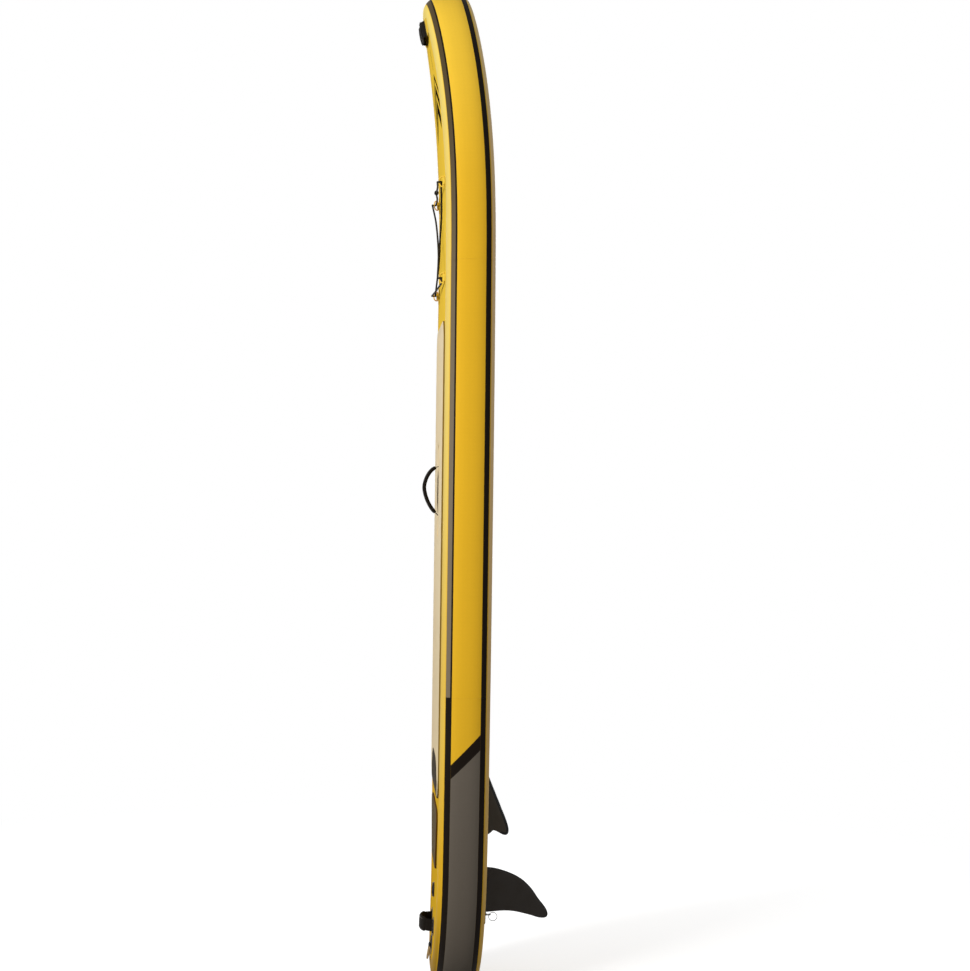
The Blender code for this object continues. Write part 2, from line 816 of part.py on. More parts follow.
def nose_line():
    """The nose handle's middle line: low shoulders and a slightly sagging middle."""
    floor = WEB_FLOOR + WEB_THICK / 2
    top = NOSE_TOP - NOSE_GRIP_THICK / 2
    half = [
        (NOSE_HALF_SPAN + 26 * MM, floor),
        (NOSE_HALF_SPAN + 2 * MM, floor),
        (NOSE_HALF_SPAN - 6 * MM, floor + 4.5 * MM),
        (NOSE_HALF_SPAN - 14 * MM, floor + 10 * MM),
        (NOSE_HALF_SPAN - 24 * MM, top - 1.5 * MM),
        (NOSE_HALF_SPAN - 35 * MM, top),
        (NOSE_HALF_SPAN - 49 * MM, top - 0.5 * NOSE_SAG),
        (NOSE_HALF_SPAN - 60 * MM, top - 0.9 * NOSE_SAG),
    ]
    left = [(-u, h) for u, h in half]
    return left + [(0.0, top - NOSE_SAG)] + half[::-1]


def make_nose_handle():
    """The flat padded handle near the nose, over the rails' flanges."""
    flange = HALF - SKIN_OUT
    lift = flange + seat_lift(NOSE_HANDLE_S, NOSE_WEB_WIDTH / 2)
    frame = across_frame(NOSE_HANDLE_S, lift)
    line = nose_line()
    strap("nose_handle_strap", line, NOSE_WEB_WIDTH, frame)
    grip("nose_handle_grip", line[4:-4], NOSE_GRIP_WIDTH, NOSE_GRIP_THICK,
         NOSE_WEB_WIDTH + 1.0 * MM, frame)
    for name, side in (("left", -1), ("right", 1)):
        x = side * (NOSE_HALF_SPAN + 5 * MM)
        spot = across_frame(NOSE_HANDLE_S, lift) @ Matrix.Translation((0, x, 0))
        cylinder("nose_handle_patch_" + name, NOSE_PATCH_RADIUS, GAP, PATCH_TOP, spot,
                 "grey_pvc")


def make_tail_handle():
    """The arched handle near the tail, across the board."""
    lift = seat_lift(TAIL_HANDLE_S, TAIL_PATCH_RADIUS)
    frame = across_frame(TAIL_HANDLE_S, lift)
    turns = [math.radians(value) for value in range(12, 169, 12)]
    top = TAIL_TOP - TAIL_GRIP_THICK / 2
    line = arch_path(TAIL_HALF_SPAN, top, 0.0, TAIL_ARCH_POWER, 26 * MM, turns)
    strap("tail_handle_strap", line, TAIL_WEB_WIDTH, frame)
    grip("tail_handle_grip", line[4:-4], TAIL_GRIP_WIDTH, TAIL_GRIP_THICK,
         TAIL_WEB_WIDTH + 1.0 * MM, frame)
    for name, side in (("left", -1), ("right", 1)):
        x = side * (TAIL_HALF_SPAN + 14 * MM)
        patch("tail_handle_patch_" + name, x, TAIL_HANDLE_S, TAIL_PATCH_RADIUS)


# Rings and their webbing tabs


def ring_points(width, depth):
    """A D-shaped ring's middle line in its own plane: the bar on the X axis, the bow towards Y."""
    half = width / 2
    corner = 1.8 * MM
    line = [(-half + corner, 0.0, 0.0), (half - corner, 0.0, 0.0), (half, corner, 0.0)]
    for step in range(9):
        turn = math.pi * step / 8
        u = half * signed_power(math.cos(turn), 0.9)
        v = 0.32 * depth + 0.68 * depth * math.sin(turn) ** 0.9
        line.append((u, v, 0.0))
    line.append((-half, corner, 0.0))
    return line


def ring_frame(base, bar_height, tilt):
    """The frame of a ring whose bow leans up from the deck, from a frame with Y to the bow."""
    return base @ Matrix.Translation((0, 0, bar_height)) @ Matrix.Rotation(tilt, 4, "X")


def webbing_tab(name, wire, wall, width, tab, base, finish="webbing"):
    """A doubled strip that loops round the ring's bar, with a hole for it."""
    inner = wire / 2 + BAR_CLEARANCE
    outer = inner + wall
    middle = WEB_FLOOR + outer
    outline = [(-tab, WEB_FLOOR), (0.0, WEB_FLOOR)]
    for step in range(1, 8):
        turn = math.radians(-90 + 180 * step / 8)
        outline.append((outer * math.cos(turn), middle + outer * math.sin(turn)))
    outline.append((0.0, middle + outer))
    outline.append((-2.4 * outer, WEB_FLOOR + 2 * wall))
    outline.append((-tab, WEB_FLOOR + 2 * wall))
    hole = circle(inner, 12, (0.0, middle))
    stand = base @ Matrix(((0, 0, 1, 0), (1, 0, 0, 0), (0, 1, 0, 0), (0, 0, 0, 1)))
    plate(name, [outline, hole[::-1]], -width / 2, width / 2, stand, finish)
    return middle


def make_leash_anchor():
    """The patch, webbing tab and hinged ring for the leash, its bow towards the tail."""
    lift = seat_lift(LEASH_PATCH_S, LEASH_PATCH_RADIUS)
    patch("leash_patch", 0, LEASH_PATCH_S, LEASH_PATCH_RADIUS)
    base = hull_frame(0, LEASH_BAR_S, -1, lift) @ Matrix.Rotation(math.pi, 4, "Z")
    middle = webbing_tab("leash_webbing", LEASH_WIRE, LEASH_WEB_THICK, LEASH_WEB_WIDTH,
                         LEASH_TAB, base)
    tube("leash_d_ring", ring_points(LEASH_WIDTH, LEASH_DEPTH), LEASH_WIRE, 1,
         ring_frame(base, middle, LEASH_TILT), "steel", cyclic=True)


def make_cargo_anchor(name, x, s):
    """One anchor of the cargo cord: its ring's bow is where the cord turns."""
    side = math.copysign(1, x)
    lift = seat_lift(s, ANCHOR_PATCH_RADIUS)
    bar_x = x + side * RING_DEPTH * math.cos(RING_TILT)
    base = hull_frame(bar_x, s, -1, lift) @ Matrix.Rotation(side * math.pi / 2, 4, "Z")
    patch("anchor_patch_" + name, bar_x + side * 2 * MM, s, ANCHOR_PATCH_RADIUS, HALF - SKIN_OUT,
          "yellow_pvc")
    base = base @ Matrix.Translation((0, 0, HALF - SKIN_OUT))
    middle = webbing_tab("anchor_webbing_" + name, RING_WIRE, RING_WEB_THICK, RING_WEB_WIDTH,
                         RING_TAB, base, "yellow_pvc")
    tube("anchor_ring_" + name, ring_points(RING_WIDTH, RING_DEPTH), RING_WIRE, 1,
         ring_frame(base, middle, RING_TILT), "steel", cyclic=True)


def smooth_route(route, steps):
    """Points on a smooth curve through the route's own points."""
    knots = [np.array(point) for point in route]
    knots = [2 * knots[0] - knots[1]] + knots + [2 * knots[-1] - knots[-2]]
    line = []
    for index in range(1, len(knots) - 2):
        a, b, c, d = knots[index - 1:index + 3]
        for step in range(steps[index - 1]):
            u = step / steps[index - 1]
            line.append(0.5 * (2 * b + (c - a) * u + (2 * a - 5 * b + 4 * c - d) * u * u
                               + (3 * b - a - 3 * c + d) * u ** 3))
    line.append(knots[-2])
    return line


# The cargo cord turns round a ring's bow, whose middle is this high over the deck skin
BAR_CLEARANCE = 0.35 * MM
RING_TURN = 6.2
RING_BOW_HEIGHT = (HALF - SKIN_OUT + WEB_FLOOR + RING_WIRE / 2 + BAR_CLEARANCE + RING_WEB_THICK
                   + RING_DEPTH * math.sin(RING_TILT)) / MM


def cord_turn(name, enter_over, enter_s, leave_s):
    """The five route points round a ring's bow, over it first or under it first."""
    x, s = ANCHORS[name]
    side = math.copysign(1, x)
    over = 1 if enter_over else -1
    bow = RING_BOW_HEIGHT
    return [
        (x - side * 16 * MM, s + enter_s * 16 * MM, bow + over * 0.92 * RING_TURN),
        (x, s, bow + over * RING_TURN),
        (x + side * RING_TURN * MM, s, bow),
        (x, s, bow - over * RING_TURN),
        (x - side * 16 * MM, s + leave_s * 16 * MM, bow - over * 0.92 * RING_TURN),
    ]


def cord_route():
    """From the knot round the four rings and back: x, s, and height in millimetres."""
    half = KNOT_LENGTH / 2 + GAP
    slant = (ANCHORS["front_right"][1] - ANCHORS["rear_right"][1])
    slant /= ANCHORS["front_right"][0] + ANCHORS["rear_right"][0]
    route = [(half, KNOT_S, KNOT_HEIGHT / MM), (0.030, KNOT_S, KNOT_HEIGHT / MM)]
    route += [(0.130, 2.5575, 21.0)]
    route += cord_turn("front_right", True, 0.0, -slant)
    route += [(0.110, 2.4732, 9.0), (0.0, 2.4065, 9.6), (-0.120, 2.3375, 8.6)]
    route += cord_turn("rear_left", False, slant, 0.0)
    route += [(-0.130, 2.2486, 18.6), (0.0, 2.2480, 13.6), (0.130, 2.2486, 9.4)]
    route += cord_turn("rear_right", False, 0.0, slant)
    route += [(0.130, 2.3330, 18.8), (0.0, 2.4075, 17.4), (-0.120, 2.4812, 19.0)]
    route += cord_turn("front_left", True, -slant, 0.0)
    route += [(-0.130, 2.5575, 13.0), (-0.050, KNOT_S, 18.0)]
    route += [(-0.030, KNOT_S, KNOT_HEIGHT / MM), (-half, KNOT_S, KNOT_HEIGHT / MM)]
    return route


def make_cargo_cord():
    """The elastic cord and its knot."""
    route = [place(x, -(SKIN_OUT + height * MM), s) for x, s, height in cord_route()]
    steps = []
    for index in range(len(route) - 1):
        length = (route[index + 1] - route[index]).length
        steps.append(3 if length < 0.012 else 2 if length > 0.1 else 1)
    line = smooth_route(route, steps)
    tube("bungee_cord", line, CORD_DIAMETER, 2, Matrix.Identity(4), "cord")
    knot_frame = hull_frame(0, KNOT_S, -1, KNOT_HEIGHT) @ Matrix.Rotation(math.pi / 2, 4, "Y")
    half = KNOT_LENGTH / 2
    profile = [(0.0, half), (3.6 * MM, half), (6.2 * MM, 7.2 * MM), (KNOT_RADIUS, 5.2 * MM),
               (6.6 * MM, 3.2 * MM), (KNOT_RADIUS, 0.0), (6.6 * MM, -3.2 * MM),
               (KNOT_RADIUS, -5.2 * MM), (6.2 * MM, -7.2 * MM), (3.6 * MM, -half), (0.0, -half)]
    turned("bungee_knot", profile, knot_frame, "cord", 14, closed=False)


# Valve


def make_valve():
    """The inflation valve: body, backing nut, sprung stem with its seal, and quarter-turn cap."""
    frame = hull_frame(0, VALVE_S, -1)
    depth = -BARREL_DEPTH
    groove = BORE_RADIUS + 1.8 * MM
    body = turned("valve_body", [
        (FLANGE_RADIUS - 1.2 * MM, FLANGE_TOP),
        (FLANGE_RADIUS, FLANGE_TOP - 1.4 * MM),
        (FLANGE_RADIUS, GAP),
        (BARREL_RADIUS, GAP),
        (BARREL_RADIUS, depth),
        (SEAT_RADIUS, depth),
        (SEAT_RADIUS, -WEB_DEPTH - WEB_WALL),
        (STEM_GUIDE_RADIUS, -WEB_DEPTH - WEB_WALL),
        (STEM_GUIDE_RADIUS, -WEB_DEPTH),
        (BORE_RADIUS, -WEB_DEPTH),
        (BORE_RADIUS, -6.2 * MM),
        (groove, -6.2 * MM),
        (groove, -3.0 * MM),
        (BORE_RADIUS, -3.0 * MM),
        (BORE_RADIUS, FLANGE_TOP),
    ], frame, "hard_plastic", 24)
    for step in range(3):
        turn = math.radians(120 * step)
        window = rounded_rectangle(2.6 * MM, 3.6 * MM, 1.2 * MM, 2)
        spot = frame @ Matrix.Rotation(turn, 4, "Z") @ Matrix.Translation((6.9 * MM, 0, 0))
        hole = plate("valve_window_%d" % step, [window], -WEB_DEPTH - 2 * WEB_WALL,
                     -WEB_DEPTH + WEB_WALL, spot, "steel")
        boolean(body, curve_to_mesh(hole, "steel"), "DIFFERENCE")
    for step in range(2):
        turn = math.radians(180 * step)
        spot = frame @ Matrix.Rotation(turn, 4, "Z")
        entry = plate("valve_entry_%d" % step, [
            [(-3.4 * MM, 0.0), (3.4 * MM, 0.0), (3.4 * MM, groove), (-3.4 * MM, groove)]],
            -4.0 * MM, FLANGE_TOP + 1 * MM, spot, "steel")
        boolean(body, curve_to_mesh(entry, "steel"), "DIFFERENCE")
    nut_top = -(SKIN_WALL + GAP + CLOTH_WALL + GAP)
    nut = [circle(BARREL_RADIUS + GAP, 24)]
    teeth = []
    for step in range(48):
        turn = 2 * math.pi * step / 48
        radius = NUT_RADIUS if step % 6 in (0, 1, 2, 3) else NUT_RADIUS - 3 * MM
        teeth.append((radius * math.cos(turn), radius * math.sin(turn)))
    plate("valve_backing_nut", [teeth, nut[0][::-1]], nut_top - NUT_THICK, nut_top, frame,
          "hard_plastic")
    head_low = -5.2 * MM - 2.2 * MM
    turned("valve_stem", [
        (0.0, head_low + 2.2 * MM),
        (5.4 * MM, head_low + 2.2 * MM),
        (6.0 * MM, head_low + 1.6 * MM),
        (6.0 * MM, head_low),
        (STEM_RADIUS, head_low),
        (STEM_RADIUS, depth - 2.2 * MM),
        (12.4 * MM, depth - 2.2 * MM),
        (12.4 * MM, depth - 3.8 * MM),
        (11.8 * MM, depth - 4.4 * MM),
        (0.0, depth - 4.4 * MM),
    ], frame, "hard_plastic", 24, closed=False)
    turned("valve_gasket", [
        (12.8 * MM, depth - GAP),
        (12.8 * MM, depth - 2.2 * MM + GAP),
        (STEM_RADIUS + GAP, depth - 2.2 * MM + GAP),
        (STEM_RADIUS + GAP, depth - GAP),
    ], frame, "seal_rubber", 24)
    coil = []
    low = -WEB_DEPTH + GAP + SPRING_WIRE / 2
    high = head_low - GAP - SPRING_WIRE / 2
    total = SPRING_TURNS * SPRING_POINTS_PER_TURN
    for step in range(total + 1):
        turn = 2 * math.pi * step / SPRING_POINTS_PER_TURN
        share = step / total
        coil.append((SPRING_RADIUS * math.cos(turn), SPRING_RADIUS * math.sin(turn),
                     low + (high - low) * share))
    tube("valve_spring", coil, SPRING_WIRE, 1, frame, "steel")
    make_valve_cap(frame, groove)


def make_valve_cap(frame, groove):
    """The cap: a plug with two lugs in the body's groove, its seal and two finger ridges."""
    plug = BORE_RADIUS - 0.35 * MM
    under = FLANGE_TOP + 0.35 * MM
    cap = turned("valve_cap", [
        (0.0, CAP_TOP - 1.0 * MM),
        (CAP_RADIUS - 3.2 * MM, CAP_TOP - 1.0 * MM),
        (CAP_RADIUS - 2.0 * MM, CAP_TOP),
        (CAP_RADIUS - 0.6 * MM, CAP_TOP),
        (CAP_RADIUS, CAP_TOP - 0.8 * MM),
        (CAP_RADIUS, under),
        (plug, under),
        (plug, 0.2 * MM),
        (plug - 1.6 * MM, 0.2 * MM),
        (plug - 1.6 * MM, -1.8 * MM),
        (plug, -1.8 * MM),
        (plug, -4.4 * MM),
        (8.6 * MM, -4.4 * MM),
        (8.6 * MM, 2.0 * MM),
        (0.0, 2.0 * MM),
    ], frame, "hard_plastic", 24, closed=False)
    ridge = plate("cap_ridge", [rounded_rectangle(2.2 * MM, 15 * MM, 2.0 * MM, 3)],
                  CAP_TOP - 2.0 * MM, CAP_TOP + 1.6 * MM, frame, "hard_plastic")
    boolean(cap, curve_to_mesh(ridge, "hard_plastic"), "UNION")
    for step in range(2):
        spot = frame @ Matrix.Rotation(math.pi * step, 4, "Z")
        lug = plate("cap_lug_%d" % step, [[
            (plug - 2.0 * MM, -2.6 * MM), (groove - 0.5 * MM, -2.2 * MM),
            (groove - 0.5 * MM, 2.2 * MM), (plug - 2.0 * MM, 2.6 * MM)]],
            -5.7 * MM, -3.4 * MM, spot, "hard_plastic")
        boolean(cap, curve_to_mesh(lug, "hard_plastic"), "UNION")
    turned("valve_cap_seal", [
        (BORE_RADIUS - 0.06 * MM, 0.0),
        (BORE_RADIUS - 0.06 * MM, -1.6 * MM),
        (plug - 1.6 * MM + 0.05 * MM, -1.6 * MM),
        (plug - 1.6 * MM + 0.05 * MM, 0.0),
    ], frame, "seal_rubber", 24)


# Fins

# Height over the bottom skin, leading s and trailing s of the centre fin's outline
CENTRE_FIN_ROWS = [
    (0.0203, 0.3730, 0.2265),
    (0.0440, 0.3710, 0.2292),
    (0.0690, 0.3653, 0.2320),
    (0.0940, 0.3572, 0.2328),
    (0.1190, 0.3462, 0.2305),
    (0.1440, 0.3298, 0.2255),
    (0.1690, 0.3050, 0.2197),
    (0.1900, 0.2760, 0.2137),
    (0.2070, 0.2560, 0.2123),
    (0.2160, 0.2440, 0.2142),
    (0.2205, 0.2350, 0.2177),
    (0.2226, 0.2280, 0.2225),
]
SIDE_FIN_ROWS = [
    (0.0030, 0.7010, 0.4990),
    (0.0150, 0.6800, 0.5000),
    (0.0240, 0.6605, 0.5065),
    (0.0314, 0.6440, 0.5125),
    (0.0440, 0.6130, 0.5085),
    (0.0560, 0.5840, 0.5020),
    (0.0660, 0.5610, 0.4985),
    (0.0740, 0.5400, 0.4995),
    (0.0785, 0.5245, 0.5050),
    (0.0798, 0.5170, 0.5110),
]


def foil_rings(rows, half_thick, s_middle, tip_share):
    """A fin's sections: sharp trailing edge, round leading edge, thinner towards the tip."""
    rings = []
    low = rows[0][0]
    high = rows[-1][0]
    for height, lead, trail in rows:
        share = (height - low) / (high - low)
        half = half_thick * (1 - (1 - tip_share) * share ** 1.3)
        chord = lead - trail
        half = min(half, 0.09 * chord)
        ring = []
        for along, thick in ((0.0, 0.0), (0.06, 0.55), (0.22, 0.95), (0.45, 1.0), (0.72, 0.66),
                             (0.93, 0.28)):
            ring.append(Vector((half * thick, lead - chord * along - s_middle, height)))
        ring.append(Vector((0.12 * half, trail - s_middle, height)))
        ring.append(Vector((-0.12 * half, trail - s_middle, height)))
        for point in ring[5:0:-1]:
            ring.append(Vector((-point.x, point.y, point.z)))
        rings.append(ring)
    return rings


def make_fin_box():
    """The box glued to the bottom, its T-shaped channel and the notch for the lock clip."""
    middle = sum(BOX_S) / 2
    half = (BOX_S[1] - BOX_S[0]) / 2
    frame = hull_frame(0, middle, 1)
    lift = 0.9 * MM
    plate("fin_box_patch", [rounded_rectangle(0.048, half + 0.030, 0.030, 5)], lift + GAP,
          lift + GAP + PATCH_THICK, frame, "black_pvc")
    box = plate("fin_box", [rounded_rectangle(BOX_HALF_WIDTH, half, 0.010, 4)],
                lift + GAP + PATCH_THICK + GAP, BOX_TOP, frame, "hard_plastic")
    box = curve_to_mesh(box, "hard_plastic")
    bevel = box.modifiers.new("edges", "BEVEL")
    bevel.width = 1.2 * MM
    bevel.segments = 1
    bevel.limit_method = "ANGLE"
    bevel.angle_limit = math.radians(50)
    floor = BOX_FLOOR + lift + PATCH_TOP
    start = -half - 0.01
    end = FOOT_S[1] + 0.0012 - middle
    channel = plate("box_channel", [[(-CHANNEL_HALF, start), (CHANNEL_HALF, start),
                                     (CHANNEL_HALF, end), (-CHANNEL_HALF, end)]],
                    floor, floor + CHANNEL_HEIGHT, frame, "steel")
    boolean(box, curve_to_mesh(channel, "steel"), "DIFFERENCE")
    slot = plate("box_slot", [[(-SLOT_HALF, start), (SLOT_HALF, start), (SLOT_HALF, end),
                               (-SLOT_HALF, end)]], floor + CHANNEL_HEIGHT / 2, BOX_TOP + 0.01,
                 frame, "steel")
    boolean(box, curve_to_mesh(slot, "steel"), "DIFFERENCE")
    low = CLIP_S[0] - GAP - middle
    high = CLIP_S[1] + GAP - middle
    wide = CLIP_HALF + GAP
    notch = plate("box_notch", [[(-wide, low), (wide, low), (wide, high), (-wide, high)]],
                  floor + CHANNEL_HEIGHT / 2, BOX_TOP + 0.01, frame, "steel")
    boolean(box, curve_to_mesh(notch, "steel"), "DIFFERENCE")
    return frame, floor, middle


def make_centre_fin(frame, floor, middle):
    """The blade and its T-shaped foot, which slides into the box from the tail."""
    fin = loft("centre_fin", foil_rings(CENTRE_FIN_ROWS, FIN_HALF_THICK, middle, 0.35),
               "hard_plastic", frame)
    top = CENTRE_FIN_ROWS[0][0] + 0.003
    foot_low = floor + GAP
    foot_high = floor + CHANNEL_HEIGHT - GAP
    profile = [
        (-FOOT_HALF, foot_low), (FOOT_HALF, foot_low), (FOOT_HALF, foot_high),
        (NECK_HALF, foot_high), (NECK_HALF, BOX_TOP - 0.5 * MM), (0.6 * NECK_HALF, top),
        (-0.6 * NECK_HALF, top), (-NECK_HALF, BOX_TOP - 0.5 * MM), (-NECK_HALF, foot_high),
        (-FOOT_HALF, foot_high),
    ]
    stand = frame @ Matrix(((1, 0, 0, 0), (0, 0, -1, 0), (0, 1, 0, 0), (0, 0, 0, 1)))
    foot = plate("fin_foot", [profile], middle - FOOT_S[1], middle - FOOT_S[0], stand,
                 "hard_plastic")
    boolean(fin, curve_to_mesh(foot, "hard_plastic"), "UNION")


def make_lock_clip(frame, floor, middle):
    """The clip that drops into the box's notch behind the fin's foot, and its pull ring."""
    s_middle = sum(CLIP_S) / 2
    clip_frame = frame @ Matrix.Translation((0, s_middle - middle, 0))
    half = (CLIP_S[1] - CLIP_S[0]) / 2
    lip_low = BOX_TOP + GAP
    lip_high = lip_low + CLIP_LIP
    root = -half + 1.0 * MM
    tip = lip_high - 1.0 * MM + TAB_REACH
    side = [
        (half, floor + CHANNEL_HEIGHT / 2 + 2 * GAP),
        (half, lip_low),
        (half + 1.8 * MM, lip_low),
        (half + 1.8 * MM, lip_high),
        (root + TAB_THICK, lip_high + 1.2 * MM),
        (root + TAB_THICK, tip),
        (root, tip),
        (-half, lip_low + 0.6 * MM),
        (-half, floor + CHANNEL_HEIGHT / 2 + 2 * GAP),
    ]
    stand = clip_frame @ Matrix(((0, 0, 1, 0), (1, 0, 0, 0), (0, 1, 0, 0), (0, 0, 0, 1)))
    clip = plate("fin_lock_clip", [side], -CLIP_HALF, CLIP_HALF, stand, "hard_plastic")
    clip = curve_to_mesh(clip, "hard_plastic")
    hole_frame = clip_frame @ Matrix.Translation((0, root + TAB_THICK / 2, tip - 4.6 * MM))
    ring_frame_at = hole_frame
    hole_frame = hole_frame @ Matrix.Rotation(math.pi / 2, 4, "X")
    boolean(clip, cylinder("clip_hole", TAB_HOLE_RADIUS, -4 * MM, 4 * MM, hole_frame, "steel", 12),
            "DIFFERENCE")
    lean = Vector((-math.cos(CLIP_RING_ANGLE), math.sin(CLIP_RING_ANGLE)))
    across = Vector((lean.y, -lean.x))
    line = []
    for step in range(20):
        turn = 2 * math.pi * step / 20
        spot = lean * (CLIP_RING_RADIUS * (1 - math.cos(turn)))
        spot = spot + across * (CLIP_RING_RADIUS * math.sin(turn))
        line.append((0.0, spot.x, spot.y))
    tube("clip_ring", line, CLIP_RING_WIRE, 1, ring_frame_at, "steel", cyclic=True)


def make_side_fins():
    """Two small fixed fins, each moulded on a base plate that is glued on a patch."""
    middle = sum(SIDE_FIN_S) / 2
    half = (SIDE_FIN_S[1] - SIDE_FIN_S[0]) / 2
    for name, side in (("left", -1), ("right", 1)):
        frame = hull_frame(side * SIDE_FIN_X, middle, 1)
        plate("side_fin_patch_" + name, [rounded_rectangle(0.030, half + 0.014, 0.024, 5)],
              GAP, PATCH_TOP, frame, "black_pvc")
        fin = plate("side_fin_" + name,
                    [rounded_rectangle(SIDE_FIN_BASE_HALF, half, 0.0120, 4)],
                    PATCH_TOP + GAP, 4.2 * MM, frame, "hard_plastic")
        fin = curve_to_mesh(fin, "hard_plastic")
        rings = foil_rings(SIDE_FIN_ROWS, SIDE_FIN_HALF_THICK, middle, 0.45)
        # The frame's X points to -X, so a fin that leans outwards turns with its side
        cant = frame @ Matrix.Rotation(-side * SIDE_FIN_CANT, 4, "Y")
        blade = loft("side_blade_" + name, rings, "hard_plastic", cant)
        boolean(fin, blade, "UNION")


def main():
    """Model the whole board."""
    make_rails()
    make_skins()
    make_core()
    make_pads()
    make_carry_handle()
    make_nose_handle()
    make_tail_handle()
    make_leash_anchor()
    for name, (x, s) in ANCHORS.items():
        make_cargo_anchor(name, x, s)
    make_cargo_cord()
    make_valve()
    frame, floor, middle = make_fin_box()
    make_centre_fin(frame, floor, middle)
    make_lock_clip(frame, floor, middle)
    make_side_fins()


main()
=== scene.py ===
"""Finish of an inflatable paddle board: its surfaces, materials, stage and camera.

Lengths are in metres. A place on the hull is x across the board, s along it from the tail
and t from its middle plane, negative towards the deck. The deck faces -Y, the nose is up.
"""

import json
import math

import bmesh
import bpy
import numpy as np
from bpy.props import FloatProperty, FloatVectorProperty, IntProperty, PointerProperty
from mathutils import Matrix

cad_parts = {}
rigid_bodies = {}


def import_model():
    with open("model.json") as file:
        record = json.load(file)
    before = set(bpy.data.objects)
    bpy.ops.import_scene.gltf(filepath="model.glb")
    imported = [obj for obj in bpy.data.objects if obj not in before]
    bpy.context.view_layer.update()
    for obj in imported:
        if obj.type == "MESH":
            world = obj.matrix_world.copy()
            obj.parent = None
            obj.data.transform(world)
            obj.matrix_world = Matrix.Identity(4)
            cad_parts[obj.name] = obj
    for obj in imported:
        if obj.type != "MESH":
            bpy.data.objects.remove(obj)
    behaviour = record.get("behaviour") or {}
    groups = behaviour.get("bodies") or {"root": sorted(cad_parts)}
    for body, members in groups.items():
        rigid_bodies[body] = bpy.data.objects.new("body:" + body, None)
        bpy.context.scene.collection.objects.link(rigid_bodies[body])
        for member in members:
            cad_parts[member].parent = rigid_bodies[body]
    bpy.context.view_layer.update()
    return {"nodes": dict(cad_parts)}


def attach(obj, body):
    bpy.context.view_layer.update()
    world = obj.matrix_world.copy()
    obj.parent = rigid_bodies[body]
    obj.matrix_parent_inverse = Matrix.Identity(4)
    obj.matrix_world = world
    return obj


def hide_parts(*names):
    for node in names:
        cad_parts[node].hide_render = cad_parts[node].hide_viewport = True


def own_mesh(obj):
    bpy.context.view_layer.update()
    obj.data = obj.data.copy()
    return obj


for leftover in list(bpy.data.objects):
    bpy.data.objects.remove(leftover, do_unlink=True)

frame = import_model()

bl_info = {
    "name": "Paddle Board Finish",
    "version": (1, 0, 0),
    "blender": (4, 5, 0),
    "location": "3D View > Sidebar > Paddle Board",
    "description": "Builds the surfaces and materials of an inflatable paddle board",
    "category": "Object",
}

MM = 0.001
GAP = 0.3 * MM

# Hull lines
LENGTH = 3.20
WIDTH = 0.813
HALF = 0.0762
RAIL_BULGE = 0.057
RAIL_POWER = 2.37
WIDEST_AT = 1.60
NOSE_PLAN_POWER = 2.17
TAIL_PLAN_POWER = 3.045
NOSE_ROCKER_START = 2.316
NOSE_ROCKER_ANGLE = 0.243
NOSE_ROCKER_POWER = 1.47
TAIL_ROCKER_END = 0.42
TAIL_ROCKER_ANGLE = 0.0675
RAIL_WALL = 1.2 * MM
RAIL_FLANGE = 20 * MM
SKIN_WALL = 1.0 * MM
SKIN_OUT = HALF - RAIL_WALL - 0.4 * MM
NOSE_JOINT_S = 2.293
TAIL_JOINT_S = 0.964
REST_HEIGHT = 4.0 * MM
REST_MIDDLE_T = 9 * MM
LEVEL_S = 1.2
LINE_SPARE = 0.02
SKIN_INSET = 2 * MM
# Marks along the seam, and what a radian of its heading or of the rocker counts in half paths
RAIL_MARKS = 230
SKIN_MARKS = 260
HEADING_WEIGHT = 0.55
ROCKER_WEIGHT = 3.0

# Prints: an edge of the slanting band is t in millimetres and s at each of its ends
BAND_UPPER = ((-42, 0.760), (46.6, 0.853))
BAND_LOWER = ((-43, 0.716), (45.7, 0.805))
CHEVRONS = ((2.822, 2.866), (2.886, 2.918), (2.936, 2.954))
CHEVRON_SLANT = 0.55
CHEVRON_REACH = 0.148
NOSE_LINE_S = (2.968, 3.036)
NOSE_LINE_HALF = 4 * MM
DARK_ZONE_END = 0.745
DARK_ZONE_HALF = 0.236
DARK_ZONE_ROUND = 0.075

# Pads, patches and webbing
PAD_THICK = 6.2 * MM
DECK_PAD_S = (0.6276, 2.123)
DECK_PAD_HALF_WIDTH = 0.285
DECK_PAD_CORNER = 0.085
PAD_OPENING = (0.045, 0.150, 0.020)
TAIL_PAD_S = (0.391, 0.584)
TAIL_PAD_HALF_WIDTH = (0.150, 0.200)
TAIL_PAD_CORNER = 0.035
PAD_EDGE_DROP = 2.4 * MM
PAD_EDGE_REACH = 5 * MM
PAD_BEVEL = 0.8 * MM
# Where rows and columns stand: in from an edge, past the opening's ends and sides, in a groove
PAD_EDGE_STEPS = np.array([0, 0.5, 1.2, 2.2, 3.6, 5.0, 9, 15, 21, 23.4, 24.6]) * MM
PAD_END_STEPS = np.array([-19, -17, -16.4, -15.4, -14.4, -13, -9, -4.6, -3, -1.6, -0.7, 0.3]) * MM
PAD_SIDE_STEPS = np.array([0.3, 0.9, 1.8, 3.0, 4.6]) * MM
GROOVE_STEPS = np.array([-2.1, -1.5, -0.8, 0.8, 1.5, 2.1]) * MM
GROOVE_FLAT = 0.8 * MM
GROOVE_SLOPE = 1.2 * MM
GROOVE_END = 2 * MM
PATCH_THICK = 1.0 * MM
PATCH_TOP = GAP + PATCH_THICK
WEB_THICK = 2.2 * MM
WEB_FLOOR = PATCH_TOP + GAP
